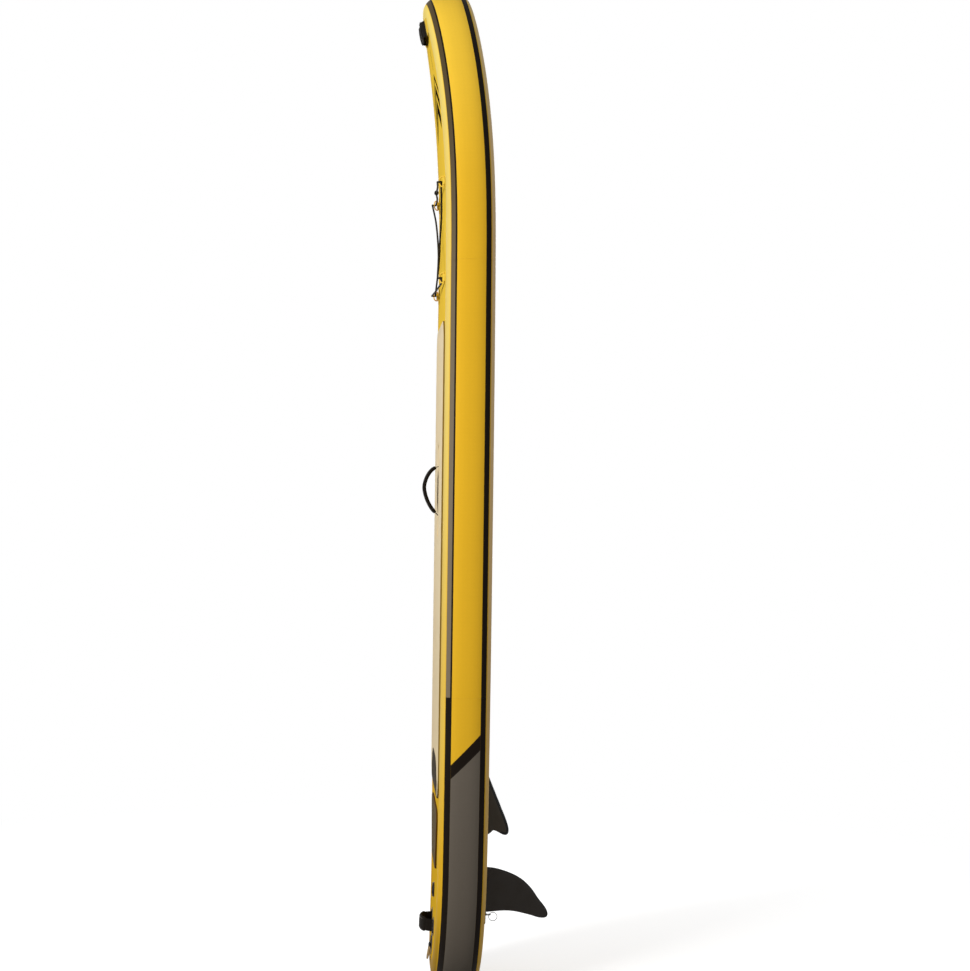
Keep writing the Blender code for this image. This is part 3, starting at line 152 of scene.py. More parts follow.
# Points of a handle strap's path, 2 mm apart, that lie in a sewn tab
TAB_POINTS = 11
STITCH_INSET = 4 * MM
GRIP_SLACK = 0.4 * MM
GRIP_END = 11 * MM
GRIP_SEAM = 0.9 * MM
GRIP_STITCH_INSET = 5.5 * MM

# Handles
CARRY_S = 1.589
CARRY_HALF_SPAN = 0.0777
CARRY_SKEW = 12 * MM
CARRY_ARCH_POWER = 1.65
CARRY_WEB_WIDTH = 38 * MM
CARRY_TOP = 56.9 * MM
CARRY_GRIP_THICK = 12.4 * MM
CARRY_GRIP_WIDTH = 45 * MM
CARRY_TAB = 30 * MM
CARRY_PATCH_RADIUS = 0.034
NOSE_HANDLE_S = 3.092
NOSE_HALF_SPAN = 0.070
NOSE_WEB_WIDTH = 50 * MM
NOSE_TOP = 21.5 * MM
NOSE_SAG = 4 * MM
NOSE_GRIP_THICK = 8.5 * MM
NOSE_GRIP_WIDTH = 57 * MM
NOSE_PATCH_RADIUS = 0.030
TAIL_HANDLE_S = 0.1915
TAIL_HALF_SPAN = 0.056
TAIL_ARCH_POWER = 2.1
TAIL_WEB_WIDTH = 39 * MM
TAIL_TOP = 45 * MM
TAIL_GRIP_THICK = 8.5 * MM
TAIL_GRIP_WIDTH = 44 * MM
TAIL_TAB = 26 * MM
TAIL_PATCH_RADIUS = 0.030

# Leash ring, cargo anchors and cord
LEASH_BAR_S = 0.112
LEASH_WIRE = 5 * MM
LEASH_WIDTH = 46 * MM
LEASH_DEPTH = 42 * MM
LEASH_TILT = math.radians(8)
LEASH_PATCH_S = 0.122
LEASH_PATCH_RADIUS = 0.038
LEASH_WEB_WIDTH = 38 * MM
LEASH_WEB_THICK = 1.2 * MM
LEASH_TAB = 28 * MM
ANCHORS = {
    "front_right": (0.240, 2.555),
    "front_left": (-0.240, 2.555),
    "rear_right": (0.272, 2.249),
    "rear_left": (-0.272, 2.249),
}
RING_WIRE = 4 * MM
RING_WIDTH = 30 * MM
RING_DEPTH = 19.5 * MM
RING_TILT = math.radians(40)
RING_WEB_WIDTH = 22 * MM
RING_WEB_THICK = 1.0 * MM
RING_TAB = 20 * MM
ANCHOR_PATCH_RADIUS = 0.0275
BAR_CLEARANCE = 0.35 * MM
# The next two are in millimetres, as heights on the cord's route are
RING_TURN = 6.2
RING_BOW_HEIGHT = (HALF - SKIN_OUT + WEB_FLOOR + RING_WIRE / 2 + BAR_CLEARANCE + RING_WEB_THICK
                   + RING_DEPTH * math.sin(RING_TILT)) / MM
KNOT_S = 2.559
KNOT_HEIGHT = 20 * MM
KNOT_LENGTH = 19 * MM
KNOT_WRAPS = 3.4
KNOT_RADIUS = 4.6 * MM
KNOT_WRAP_WIRE = 5.2 * MM
KNOT_CORE_WIRE = 5.6 * MM
KNOT_WRAPS_HALF = 6.2 * MM
# The braid's pitch in diameters, and its relief as a share of the radius
BRAID_PITCH = 1.1
BRAID_RELIEF = 0.018

# Valve
VALVE_S = 0.296
FLANGE_RADIUS = 24 * MM
FLANGE_TOP = 3.2 * MM
BARREL_RADIUS = 15 * MM
BORE_RADIUS = 12 * MM
SEAT_RADIUS = 10 * MM
BARREL_DEPTH = 30 * MM
WEB_DEPTH = 16 * MM
WEB_WALL = 2.5 * MM
BAYONET_RADIUS = BORE_RADIUS + 1.8 * MM
BAYONET_LOW = -6.2 * MM
BAYONET_HIGH = -3.0 * MM
ENTRY_HALF = 3.4 * MM
PORT_RADIUS = 6.9 * MM
PORT_OUTLINE = (2.6 * MM, 3.6 * MM, 1.2 * MM)
STEM_GUIDE_RADIUS = 3.3 * MM
STEM_HEAD = -7.4 * MM
SPRING_WIRE = 0.9 * MM
SPRING_RADIUS = 4.4 * MM
SPRING_TURNS = 4
CAP_RADIUS = 22 * MM
CAP_TOP = 6.4 * MM
CAP_DISH = 1.0 * MM
CAP_RIDGE_HALF = 14.7 * MM
CAP_RIDGE_SECTION = (2.2 * MM, 2.0 * MM)
CAP_KNURLS = 40
CAP_KNURL_DEPTH = 0.010
PLUG_RADIUS = BORE_RADIUS - 0.35 * MM
PLUG_BORE = 8.6 * MM
PLUG_LOW = -4.4 * MM
PLUG_CEILING = 2.0 * MM
SEAL_GROOVE = (1.6 * MM, -1.8 * MM, 0.2 * MM)
LUG_HEIGHTS = (-5.7 * MM, -3.4 * MM)

# Fins
BOX_S = (0.189, 0.374)
BOX_TOP = 20 * MM
BOX_FLOOR = 4.4 * MM
CHANNEL_HEIGHT = 6 * MM
FOOT_S = (0.2275, 0.3695)
FOOT_HALF = 8.6 * MM
NECK_HALF = 4.4 * MM
FIN_HALF_THICK = 4.6 * MM
CLIP_S = (0.2165, 0.2225)
CLIP_LIP = 2 * MM
TAB_REACH = 15.5 * MM
TAB_THICK = 2.4 * MM
TAB_INSET = 1 * MM
TAB_HOLE_DROP = 4.6 * MM
CLIP_RING_ANGLE = math.radians(62)
CLIP_RING_RADIUS = 13.7 * MM
CLIP_RING_WIRE = 1.7 * MM
CLIP_RING_ASIDE = 0.8 * MM
SIDE_FIN_X = 0.12
SIDE_FIN_BASE_HALF = 13 * MM
SIDE_BASE_TOP = 4.2 * MM
SIDE_FIN_HALF_THICK = 3.5 * MM
SIDE_FIN_S = (0.4965, 0.7060)
SIDE_FIN_CANT = math.radians(4)
# A fin's half thickness, 0 to 1, at shares of its chord from the leading edge
FOIL_SHARES = (0.0, 0.06, 0.22, 0.45, 0.72, 0.93, 1.0)
FOIL_THICKNESS = (0.0, 0.55, 0.95, 1.0, 0.66, 0.28, 0.12)
FOIL_LIMIT = 0.09
FLARE_REACH = 2.5 * MM
TIP_FROM = 0.72
# Width of each fin's rim of painted shade, and the edge distance that foot and plates carry, in
# millimetres
CENTRE_FIN_SHADE_RIM = 4.0
SIDE_FIN_SHADE_RIM = 8.5
FOOT_EDGE = 20.0
PLATE_EDGE = 4.0
# Height over the bottom skin, leading s and trailing s of each fin's outline
CENTRE_FIN_ROWS = [
    (0.0203, 0.3730, 0.2265), (0.0440, 0.3710, 0.2292), (0.0690, 0.3653, 0.2320),
    (0.0940, 0.3572, 0.2328), (0.1190, 0.3462, 0.2305), (0.1440, 0.3298, 0.2255),
    (0.1690, 0.3050, 0.2197), (0.1900, 0.2760, 0.2137), (0.2070, 0.2560, 0.2123),
    (0.2160, 0.2440, 0.2142), (0.2205, 0.2350, 0.2177), (0.2226, 0.2280, 0.2225),
]
SIDE_FIN_ROWS = [
    (0.0030, 0.7010, 0.4990), (0.0150, 0.6800, 0.5000), (0.0240, 0.6605, 0.5065),
    (0.0314, 0.6440, 0.5125), (0.0440, 0.6130, 0.5085), (0.0560, 0.5840, 0.5020),
    (0.0660, 0.5610, 0.4985), (0.0740, 0.5400, 0.4995), (0.0785, 0.5245, 0.5050),
    (0.0798, 0.5170, 0.5110),
]

# Floor and lamps
FLOOR_REACH = 30.0
FLOOR_FADE = (1.2, 3.4)
FLOOR_GLOW = 0.47
BACK_LAMP_SHARE = 0.455

# Camera, from the photograph's 970 by 971 frame
PICTURE_SIDE = 971
FOCAL_PIXELS = 1849
AXIS_PIXEL_X = 462.86
PICTURE_MIDDLE_X = 485
SENSOR = 36


def linear(red, green, blue):
    """A colour written as 0 to 255 values, as the linear values that shaders take."""
    share = np.array([red, green, blue]) / 255
    return tuple(np.where(share <= 0.04045, share / 12.92, ((share + 0.055) / 1.055) ** 2.4))


PALE_YELLOW = linear(238, 200, 66)


def angle_setting(name, description, default):
    """An angle property, in radians."""
    return FloatProperty(name=name, description=description, default=default,
                         subtype="ANGLE", unit="ROTATION")


def length_setting(name, description, default):
    """A length property, in metres."""
    return FloatProperty(name=name, description=description, default=default,
                         subtype="DISTANCE", unit="LENGTH")


def colour_setting(name, description, *shade):
    """A colour property; its default is written as 0 to 255 values."""
    return FloatVectorProperty(name=name, description=description, subtype="COLOR",
                               default=linear(*shade))


class BoardColours(bpy.types.PropertyGroup):
    """Colours of the board's coated fabric, foam and fittings."""

    yellow: colour_setting("Yellow", "Main colour of the hull", 223, 173, 38)
    panel: colour_setting("Tail panel", "Grey panel between the stripes", 99, 91, 81)
    stripe: colour_setting("Deck stripe", "Stripe on the deck side", 119, 106, 87)
    black: colour_setting("Black", "Stripes, band and lines", 24, 18, 13)
    sand: colour_setting("Deck foam", "Standing pad", 222, 203, 166)
    dark: colour_setting("Dark foam", "Dark zone of the standing pad", 58, 50, 40)
    webbing: colour_setting("Webbing", "Straps and grips", 25, 21, 17)
    plastic: colour_setting("Plastic", "Centre fin, valve and fin box", 34, 29, 24)
    steel: colour_setting("Steel", "Valve spring", 150, 148, 140)


class StripeLayout(bpy.types.PropertyGroup):
    """Places of the printed stripes on the rail, in millimetres from its middle."""

    deck_low: FloatProperty(name="Deck stripe edge", description="Edge near the deck",
                            default=-62.3)
    deck_high: FloatProperty(name="Deck stripe inner edge", description="Edge near the middle",
                             default=-44.1)
    deck_line: FloatProperty(name="Inner line", description="Width of the black line inside it",
                             default=5.2)
    bottom_low: FloatProperty(name="Bottom stripe inner edge",
                              description="Edge near the middle", default=44.7)
    bottom_high: FloatProperty(name="Bottom stripe edge", description="Edge near the bottom",
                               default=61.0)


class PadGrooves(bpy.types.PropertyGroup):
    """Grooves moulded in the foam pads."""

    pitch: length_setting("Pitch", "Distance between grooves", 15 * MM)
    depth: length_setting("Depth", "Depth of a groove", 1.3 * MM)
    margin: length_setting("Margin", "Plain border of a pad", 24 * MM)


class CordMake(bpy.types.PropertyGroup):
    """Make of the cargo cord."""

    diameter: length_setting("Diameter", "Cord's thickness", 6 * MM)
    strands: IntProperty(name="Strands", description="Braid strands each way round", default=8)


class StageSetup(bpy.types.PropertyGroup):
    """Floor, lamps and camera."""

    floor: FloatProperty(name="Floor tone", description="Floor's grey value", default=0.86)
    bounce: FloatProperty(name="Floor bounce", description="Grey value that light bounces off",
                          default=0.06)
    key: FloatProperty(name="Key lamp", description="Power of the lamp on the deck side",
                       default=322, unit="POWER")
    fill: FloatProperty(name="Fill lamp", description="Power of the lamp on the bottom side",
                        default=70, unit="POWER")
    ambient: FloatProperty(name="Surrounding light", description="Strength of the white room",
                           default=0.28)
    distance: length_setting("Camera distance", "From the board's middle line", 6.0)
    turn: angle_setting("Camera turn", "Turn from the side towards the deck", 0.04888)
    roll: angle_setting("Camera roll", "Roll about its axis", 0.01321)
    height: length_setting("Camera height", "Height over the floor", 1.60393)


# Hull surface


def bent(share, exponent):
    """Sines or cosines to an exponent with their signs kept, as in a superellipse."""
    return np.sign(share) * np.abs(share) ** exponent


def running(steps):
    """Sums of the steps so far, from 0."""
    return np.concatenate([[0], np.cumsum(steps)])


def line_angle(s):
    """Turn of the middle line towards the deck: a power curve at the nose, straight at the tail."""
    nose = np.maximum((s - NOSE_ROCKER_START) / (LENGTH - NOSE_ROCKER_START), 0)
    tail = np.maximum((TAIL_ROCKER_END - s) / TAIL_ROCKER_END, 0)
    return NOSE_ROCKER_ANGLE * nose ** NOSE_ROCKER_POWER - TAIL_ROCKER_ANGLE * tail


def middle_line():
    """The middle line's y and z: running sums of minus the sine and the cosine of its angle.

    y is 0 where the line is level, and z is 0 at the tail.
    """
    s = np.linspace(-LINE_SPARE, LENGTH + LINE_SPARE, 1301)
    angle = line_angle(s)
    y = running(-(np.sin(angle[1:]) + np.sin(angle[:-1])) / 2 * np.diff(s))
    z = running((np.cos(angle[1:]) + np.cos(angle[:-1])) / 2 * np.diff(s))
    return s, y - np.interp(LEVEL_S, s, y), z - np.interp(0.0, s, z)


LINE_S, LINE_Y, LINE_Z = middle_line()
ORIGIN_Y = float(np.interp(0.0, LINE_S, LINE_Y)) + REST_MIDDLE_T


def place(x, t, s):
    """Hull places in the world: the middle line's point plus t along its normal."""
    x, t, s = np.broadcast_arrays(np.asarray(x, float), t, s)
    angle = line_angle(s)
    y = np.interp(s, LINE_S, LINE_Y) + t * np.cos(angle) - ORIGIN_Y
    z = np.interp(s, LINE_S, LINE_Z) + t * np.sin(angle) - REST_HEIGHT
    return np.stack([x, y, z], -1)


def hull_frame(x, s, side, height=0.0):
    """A frame on a skin's outer face: Z away from the hull, Y to the nose; side -1 is the deck."""
    angle = float(line_angle(np.float64(s)))
    out = np.array([0, math.cos(angle), math.sin(angle)]) * side
    along = np.array([0, -math.sin(angle), math.cos(angle)])
    made = np.eye(4)
    made[:3] = np.column_stack([np.cross(along, out), along, out,
                                place(x, side * (SKIN_OUT + height), s)])
    return made


def shifted(made, x=0.0, y=0.0, z=0.0):
    """A frame moved along its own axes."""
    step = np.eye(4)
    step[:3, 3] = (x, y, z)
    return made @ step


def turned_frame(made, angle, axis):
    """A frame turned about one of its own axes."""
    return made @ np.array(Matrix.Rotation(angle, 4, axis))


def in_world(made, points):
    """Points of a frame as world points: the frame's axes times the point, plus its origin."""
    return np.asarray(points) @ made[:3, :3].T + made[:3, 3]


def seat_lift(s, reach):
    """How far a flat piece on the deck is lifted so that the curved skin clears its reach."""
    inverse = np.linalg.inv(hull_frame(0, s, -1))
    ends = place(0, -SKIN_OUT, np.linspace(s - reach, s + reach, 9))
    return max(0.0, float(in_world(inverse, ends)[:, 2].max()))


def seam_half_path():
    """The seam between rail and skin from nose to tail: two superellipse quarters.

    x = half width times sin(turn) to the power 2 / n, s likewise with the cosine.
    """
    half_width = WIDTH / 2 - RAIL_BULGE
    turn = (math.pi / 2) * (0.5 - 0.5 * np.cos(np.linspace(0, math.pi, 1500)))
    nose = 2 / NOSE_PLAN_POWER
    tail = 2 / TAIL_PLAN_POWER
    nose_s = WIDEST_AT + (LENGTH - RAIL_BULGE - WIDEST_AT) * np.cos(turn) ** nose
    tail_s = WIDEST_AT - (WIDEST_AT - RAIL_BULGE) * np.sin(turn) ** tail
    x = np.concatenate([half_width * np.sin(turn) ** nose,
                        half_width * np.cos(turn[1:-1]) ** tail, [0.0]])
    s = np.concatenate([nose_s, tail_s[1:]])
    size = np.hypot(np.gradient(x), np.gradient(s))
    normal_x = -np.gradient(s) / size
    normal_s = np.gradient(x) / size
    normal_x[[0, -1]] = 0.0
    normal_s[[0, -1]] = 1.0, -1.0
    return running(np.hypot(np.diff(x), np.diff(s))), x, s, normal_x, normal_s


SEAM_ARC, SEAM_X, SEAM_S, SEAM_NX, SEAM_NS = seam_half_path()
SEAM_END = float(SEAM_ARC[-1])


def seam_at(arc):
    """x, s and outward normal at arc lengths; before 0 and past the tail it is the -X side."""
    folded = np.where(arc > SEAM_END, 2 * SEAM_END - arc, np.abs(arc))
    sign = np.where((arc > SEAM_END) | (arc < 0), -1.0, 1.0)
    x, s, nx, ns = (np.interp(folded, SEAM_ARC, column)
                    for column in (SEAM_X, SEAM_S, SEAM_NX, SEAM_NS))
    size = np.hypot(nx, ns)
    return sign * x, s, sign * nx / size, ns / size


def arc_at_s(s):
    """The arc length at which the half path passes s."""
    return float(np.interp(-s, -SEAM_S, SEAM_ARC))


def path_marks(count):
    """Arc lengths that share out the half path's length and its turning evenly."""
    heading = np.unwrap(np.arctan2(SEAM_NS, SEAM_NX))
    rise = running(np.abs(np.diff(line_angle(SEAM_S))))
    weight = (SEAM_ARC / SEAM_END + HEADING_WEIGHT * np.abs(heading - heading[0])
              + ROCKER_WEIGHT * rise)
    return np.interp(np.linspace(0, weight[-1], count), weight, SEAM_ARC)


# Surfaces before they are meshes


class Surface:
    """Points, faces and what they carry: corner map places and values at the points."""

    def __init__(self, points, quads, ends, uv, values):
        self.points = points
        self.quads = quads
        self.ends = ends
        self.uv = uv
        self.values = values

    def moved(self, made):
        """The surface placed by a frame."""
        return Surface(in_world(made, self.points), self.quads, self.ends, self.uv, self.values)

    def mesh(self, name):
        """The surface as a mesh, with doubles merged and its faces pointing outwards."""
        mesh = bpy.data.meshes.new(name)
        mesh.from_pydata(self.points, [], self.quads.tolist() + [list(end) for end in self.ends])
        corners = sum(len(end) for end in self.ends)
        uv = np.concatenate([self.uv, np.zeros((corners, 2))]).astype(np.float32)
        mesh.uv_layers.new(name="surface").data.foreach_set("uv", uv.ravel())
        for key, value in self.values.items():
            attribute = mesh.attributes.new(key, "FLOAT", "POINT")
            attribute.data.foreach_set("value", value.astype(np.float32))
        work = bmesh.new()
        work.from_mesh(mesh)
        bmesh.ops.remove_doubles(work, verts=work.verts, dist=0.000001)
        bmesh.ops.recalc_face_normals(work, faces=work.faces)
        work.to_mesh(mesh)
        work.free()
        return mesh


def grid(points, close_rows=False, close_columns=False, caps=False, values=None):
    """A surface from rows and columns of points.

    Its map is each corner's mean distance along the rows and along the columns, in metres.
    """
    points = np.asarray(points, float)
    rows, columns = points.shape[:2]
    ringed = np.concatenate([points, points[:1]], 0) if close_rows else points
    u = running(np.linalg.norm(np.diff(ringed, axis=0), axis=2).mean(1))
    ringed = np.concatenate([points, points[:, :1]], 1) if close_columns else points
    v = running(np.linalg.norm(np.diff(ringed, axis=1), axis=2).mean(0))
    i, j = np.meshgrid(np.arange(len(u) - 1), np.arange(len(v) - 1), indexing="ij")
    corner_i = np.stack([i, i, i + 1, i + 1], -1).reshape(-1, 4)
    corner_j = np.stack([j, j + 1, j + 1, j], -1).reshape(-1, 4)
    quads = (corner_i % rows) * columns + corner_j % columns
    uv = np.stack([u[corner_i], v[corner_j]], -1).reshape(-1, 2)
    ends = []
    if caps:
        ends = [np.arange(columns)[::-1], (rows - 1) * columns + np.arange(columns)]
    carried = {key: np.broadcast_to(value, (rows, columns)).reshape(-1)
               for key, value in (values or {}).items()}
    return Surface(points.reshape(-1, 3), quads, ends, uv, carried)


def joined(*surfaces):
    """Several surfaces as one; a value that one of them lacks is 0 there."""
    keys = sorted({key for surface in surfaces for key in surface.values})
    starts = np.cumsum([0] + [len(surface.points) for surface in surfaces[:-1]])
    return Surface(
        np.concatenate([surface.points for surface in surfaces]),
        np.concatenate([surface.quads + start for surface, start in zip(surfaces, starts)]),
        [end + start for surface, start in zip(surfaces, starts) for end in surface.ends],
        np.concatenate([surface.uv for surface in surfaces]),
        {key: np.concatenate([surface.values.get(key, np.zeros(len(surface.points)))
                              for surface in surfaces]) for key in keys},
    )


def copies(surface, origins, axes):
    """A surface repeated at each origin, turned by each set of three axes."""
    count = len(origins)
    size = len(surface.points)
    points = origins[:, None] + np.einsum("pk,nkc->npc", surface.points, axes)
    starts = np.arange(count) * size
    return Surface(
        points.reshape(-1, 3),
        (surface.quads[None] + starts[:, None, None]).reshape(-1, 4),
        [end + start for start in starts for end in surface.ends],
        np.tile(surface.uv, (count, 1)),
        {key: np.tile(value, count) for key, value in surface.values.items()},
    )


def smooth(points, steps=8, closed=False):
    """A Catmull-Rom curve through points, with so many steps between each two."""
    p = np.asarray(points, float)
    if closed:
        p = np.concatenate([p[-1:], p, p[:2]])
    else:
        p = np.concatenate([2 * p[:1] - p[1:2], p, 2 * p[-1:] - p[-2:-1]])
    a, b, c, d = (part[:, None] for part in (p[:-3], p[1:-2], p[2:-1], p[3:]))
    u = (np.arange(steps) / steps)[None, :, None]
    curve = 0.5 * (2 * b + (c - a) * u + (2 * a - 5 * b + 4 * c - d) * u ** 2
                   + (3 * b - a - 3 * c + d) * u ** 3)
    curve = curve.reshape(-1, p.shape[1])
    return curve if closed else np.concatenate([curve, p[-2:-1]])


def even(path, spacing, closed=False):
    """A path's points again at even steps of its length."""
    path = np.concatenate([path, path[:1]]) if closed else path
    run = running(np.linalg.norm(np.diff(path, axis=0), axis=1))
    count = max(4, int(round(run[-1] / spacing)))
    at = np.linspace(0, run[-1], count, endpoint=not closed)
    return np.stack([np.interp(at, run, column) for column in path.T], -1)


def length_of(path):
    """A path's length."""
    return float(np.linalg.norm(np.diff(path, axis=0), axis=1).sum())


def slopes(path, closed=False):
    """Unit directions along a path."""
    if closed:
        step = np.roll(path, -1, 0) - np.roll(path, 1, 0)
    else:
        step = np.gradient(path, axis=0)
    return step / np.linalg.norm(step, axis=1)[:, None]


def sweep(path, up, section, closed=False):
    """A section carried along a path: its first number runs across, its second along up.

    up is one direction, or one for each point of the path.
    """
    tangent = slopes(path, closed)
    across = np.cross(tangent, up)
    across /= np.linalg.norm(across, axis=1)[:, None]
    rise = np.cross(across, tangent)
    points = (path[:, None] + section[..., 0:1] * across[:, None]
              + section[..., 1:2] * rise[:, None])
    return grid(points, close_rows=closed, close_columns=True, caps=not closed)


def full_turn(count):
    """Angles evenly round a circle, from 0."""
    return np.linspace(0, 2 * math.pi, count, endpoint=False)


def oval(half_u, half_v, power, count):
    """A superellipse section: half_u cos(a) and half_v sin(a), each to the power 2 / n."""
    turn = full_turn(count)
    return np.stack([np.multiply.outer(half_u, bent(np.cos(turn), 2 / power)),
                     np.multiply.outer(half_v, bent(np.sin(turn), 2 / power))], -1)


def stadium(width, thick, flats=9):
    """A flat strap's section: straight faces and round edges."""
    radius = thick / 2
    turn = np.linspace(-math.pi / 2, math.pi / 2, 5)
    reach = width / 2 - radius
    right = np.stack([reach + radius * np.cos(turn), radius * np.sin(turn)], -1)
    flat = np.linspace(reach, -reach, flats)[1:-1]
    top = np.stack([flat, np.full(flats - 2, radius)], -1)
    return np.concatenate([right, top, -right, -top])


def turning(profile, steps=96, wobble=None):
    """A surface of revolution: pairs of radius and height carried round Z.

    wobble gives a factor on the radius for each profile point and turn.
    """
    profile = np.asarray(profile, float)
    turn = full_turn(steps)
    radius = profile[:, :1] * (1.0 if wobble is None else wobble(profile, turn))
    radius = np.broadcast_to(radius, (len(profile), steps))
    return np.stack([radius * np.cos(turn), radius * np.sin(turn),
                     np.repeat(profile[:, 1:], steps, 1)], -1)


def stacked(levels):
    """A closed solid through outlines of as many points: pairs of an outline and its height."""
    rings = [np.column_stack([outline, np.full(len(outline), height)])
             for outline, height in levels]
    return grid(np.stack(rings), close_columns=True, caps=True)


def prism(outline, low, high, made):
    """A closed prism on an outline, between two heights of a frame."""
    return stacked([(outline, low), (outline, high)]).moved(made)


def rounded_rectangle(half_u, half_v, radius, steps=8):
    """A rectangle's outline with round corners."""
    turn = np.radians(np.linspace(0, 90, steps + 1))
    outline = []
    for side_u, side_v, start in ((1, 1, 0), (-1, 1, 90), (-1, -1, 180), (1, -1, 270)):
        at = turn + math.radians(start)
        outline.append(np.stack([side_u * (half_u - radius) + radius * np.cos(at),
                                 side_v * (half_v - radius) + radius * np.sin(at)], -1))
    return np.concatenate(outline)


def rounded_depth(x, y, half_x, half_y, radius):
    """How far points lie inside a rounded rectangle's outline; outside it is negative."""
    over_x = np.abs(x) - (half_x - radius)
    over_y = np.abs(y) - (half_y - radius)
    outside = np.hypot(np.maximum(over_x, 0), np.maximum(over_y, 0))
    return radius - outside - np.minimum(np.maximum(over_x, over_y), 0)


def added(name, data):
    """A new object, linked to the scene."""
    made = bpy.data.objects.new(name, data)
    bpy.context.scene.collection.objects.link(made)
    return made


def piece(name, surface, material, replaces=(), body="root", sharp=40):
    """A finished piece of the board: it rides on a body and stands for its solids."""
    mesh = surface.mesh(name) if isinstance(surface, Surface) else surface
    mesh.shade_smooth()
    mesh.set_sharp_from_angle(angle=math.radians(sharp))
    mesh.materials.clear()
    mesh.materials.append(MATERIALS[material])
    made = added(name, mesh)
    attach(made, body)
    if replaces:
        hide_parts(*replaces)
    return made


def coil_line(turn, radius, height):
    """A helix about Z: radius times the cosine and the sine of the turn, and a height."""
    return np.column_stack([radius * np.cos(turn), radius * np.sin(turn), height])


def cut(surface, cutters, name):
    """A surface's mesh with closed cutters taken out of it."""
    base = added(name, surface.mesh(name))
    tools = []
    for index, cutter in enumerate(cutters):
        tool = added(name + "_cutter", cutter.mesh(name + "_cutter"))
        step = base.modifiers.new("cut_%d" % index, "BOOLEAN")
        step.operation = "DIFFERENCE"
        step.solver = "EXACT"
        step.object = tool
        tools.append(tool)
    bpy.context.view_layer.update()
    graph = bpy.context.evaluated_depsgraph_get()
    mesh = bpy.data.meshes.new_from_object(base.evaluated_get(graph))
    for item in [base, *tools]:
        bpy.data.objects.remove(item, do_unlink=True)
    return mesh


# Materials


def shader_math(operation):
    """An operator of a value: a Math node on it and what stands to its right."""
    return lambda self, other: self.math(operation, other)


def reflected_math(operation):
    """An operator of a value that stands to the right of a number."""
    return lambda self, other: self.paint.node("ShaderNodeMath", {"operation": operation},
                                               {0: other, 1: self})


class Value:
    """A shader value that takes part in Python expressions; each adds its Math node."""

    __add__ = __radd__ = shader_math("ADD")
    __sub__ = shader_math("SUBTRACT")
    __rsub__ = reflected_math("SUBTRACT")
    __mul__ = __rmul__ = shader_math("MULTIPLY")
    __truediv__ = shader_math("DIVIDE")
    __rtruediv__ = reflected_math("DIVIDE")
    __gt__ = shader_math("GREATER_THAN")
    __lt__ = shader_math("LESS_THAN")
    __or__ = shader_math("MAXIMUM")

    def __init__(self, paint, socket):
        self.paint = paint
        self.socket = socket

    def math(self, operation, *others):
        """A Math node on this value and the others."""
        inputs = dict(enumerate((self,) + others))
        return self.paint.node("ShaderNodeMath", {"operation": operation}, inputs)

    def wave(self, pitch):
        """A sine of this value, 0 to 1, once each pitch."""
        return self.math("MULTIPLY", 2 * math.pi / pitch).math("SINE") * 0.5 + 0.5

    def rise(self, low, high):
        """0 below low, 1 above high, and a smooth step between them."""
        return self.paint.node("ShaderNodeMapRange", {"interpolation_type": "SMOOTHSTEP"},
                               {"Value": self, "From Min": low, "From Max": high})

    def past(self, edge, soft):
        """0 below an edge and 1 above it, with a smooth step that reaches soft to each side."""
        return self.rise(edge - soft, edge + soft)

    def between(self, low, high, soft):
        """1 between two values and 0 outside them, with soft edges."""
        return self.past(low, soft) * (1 - self.past(high, soft))


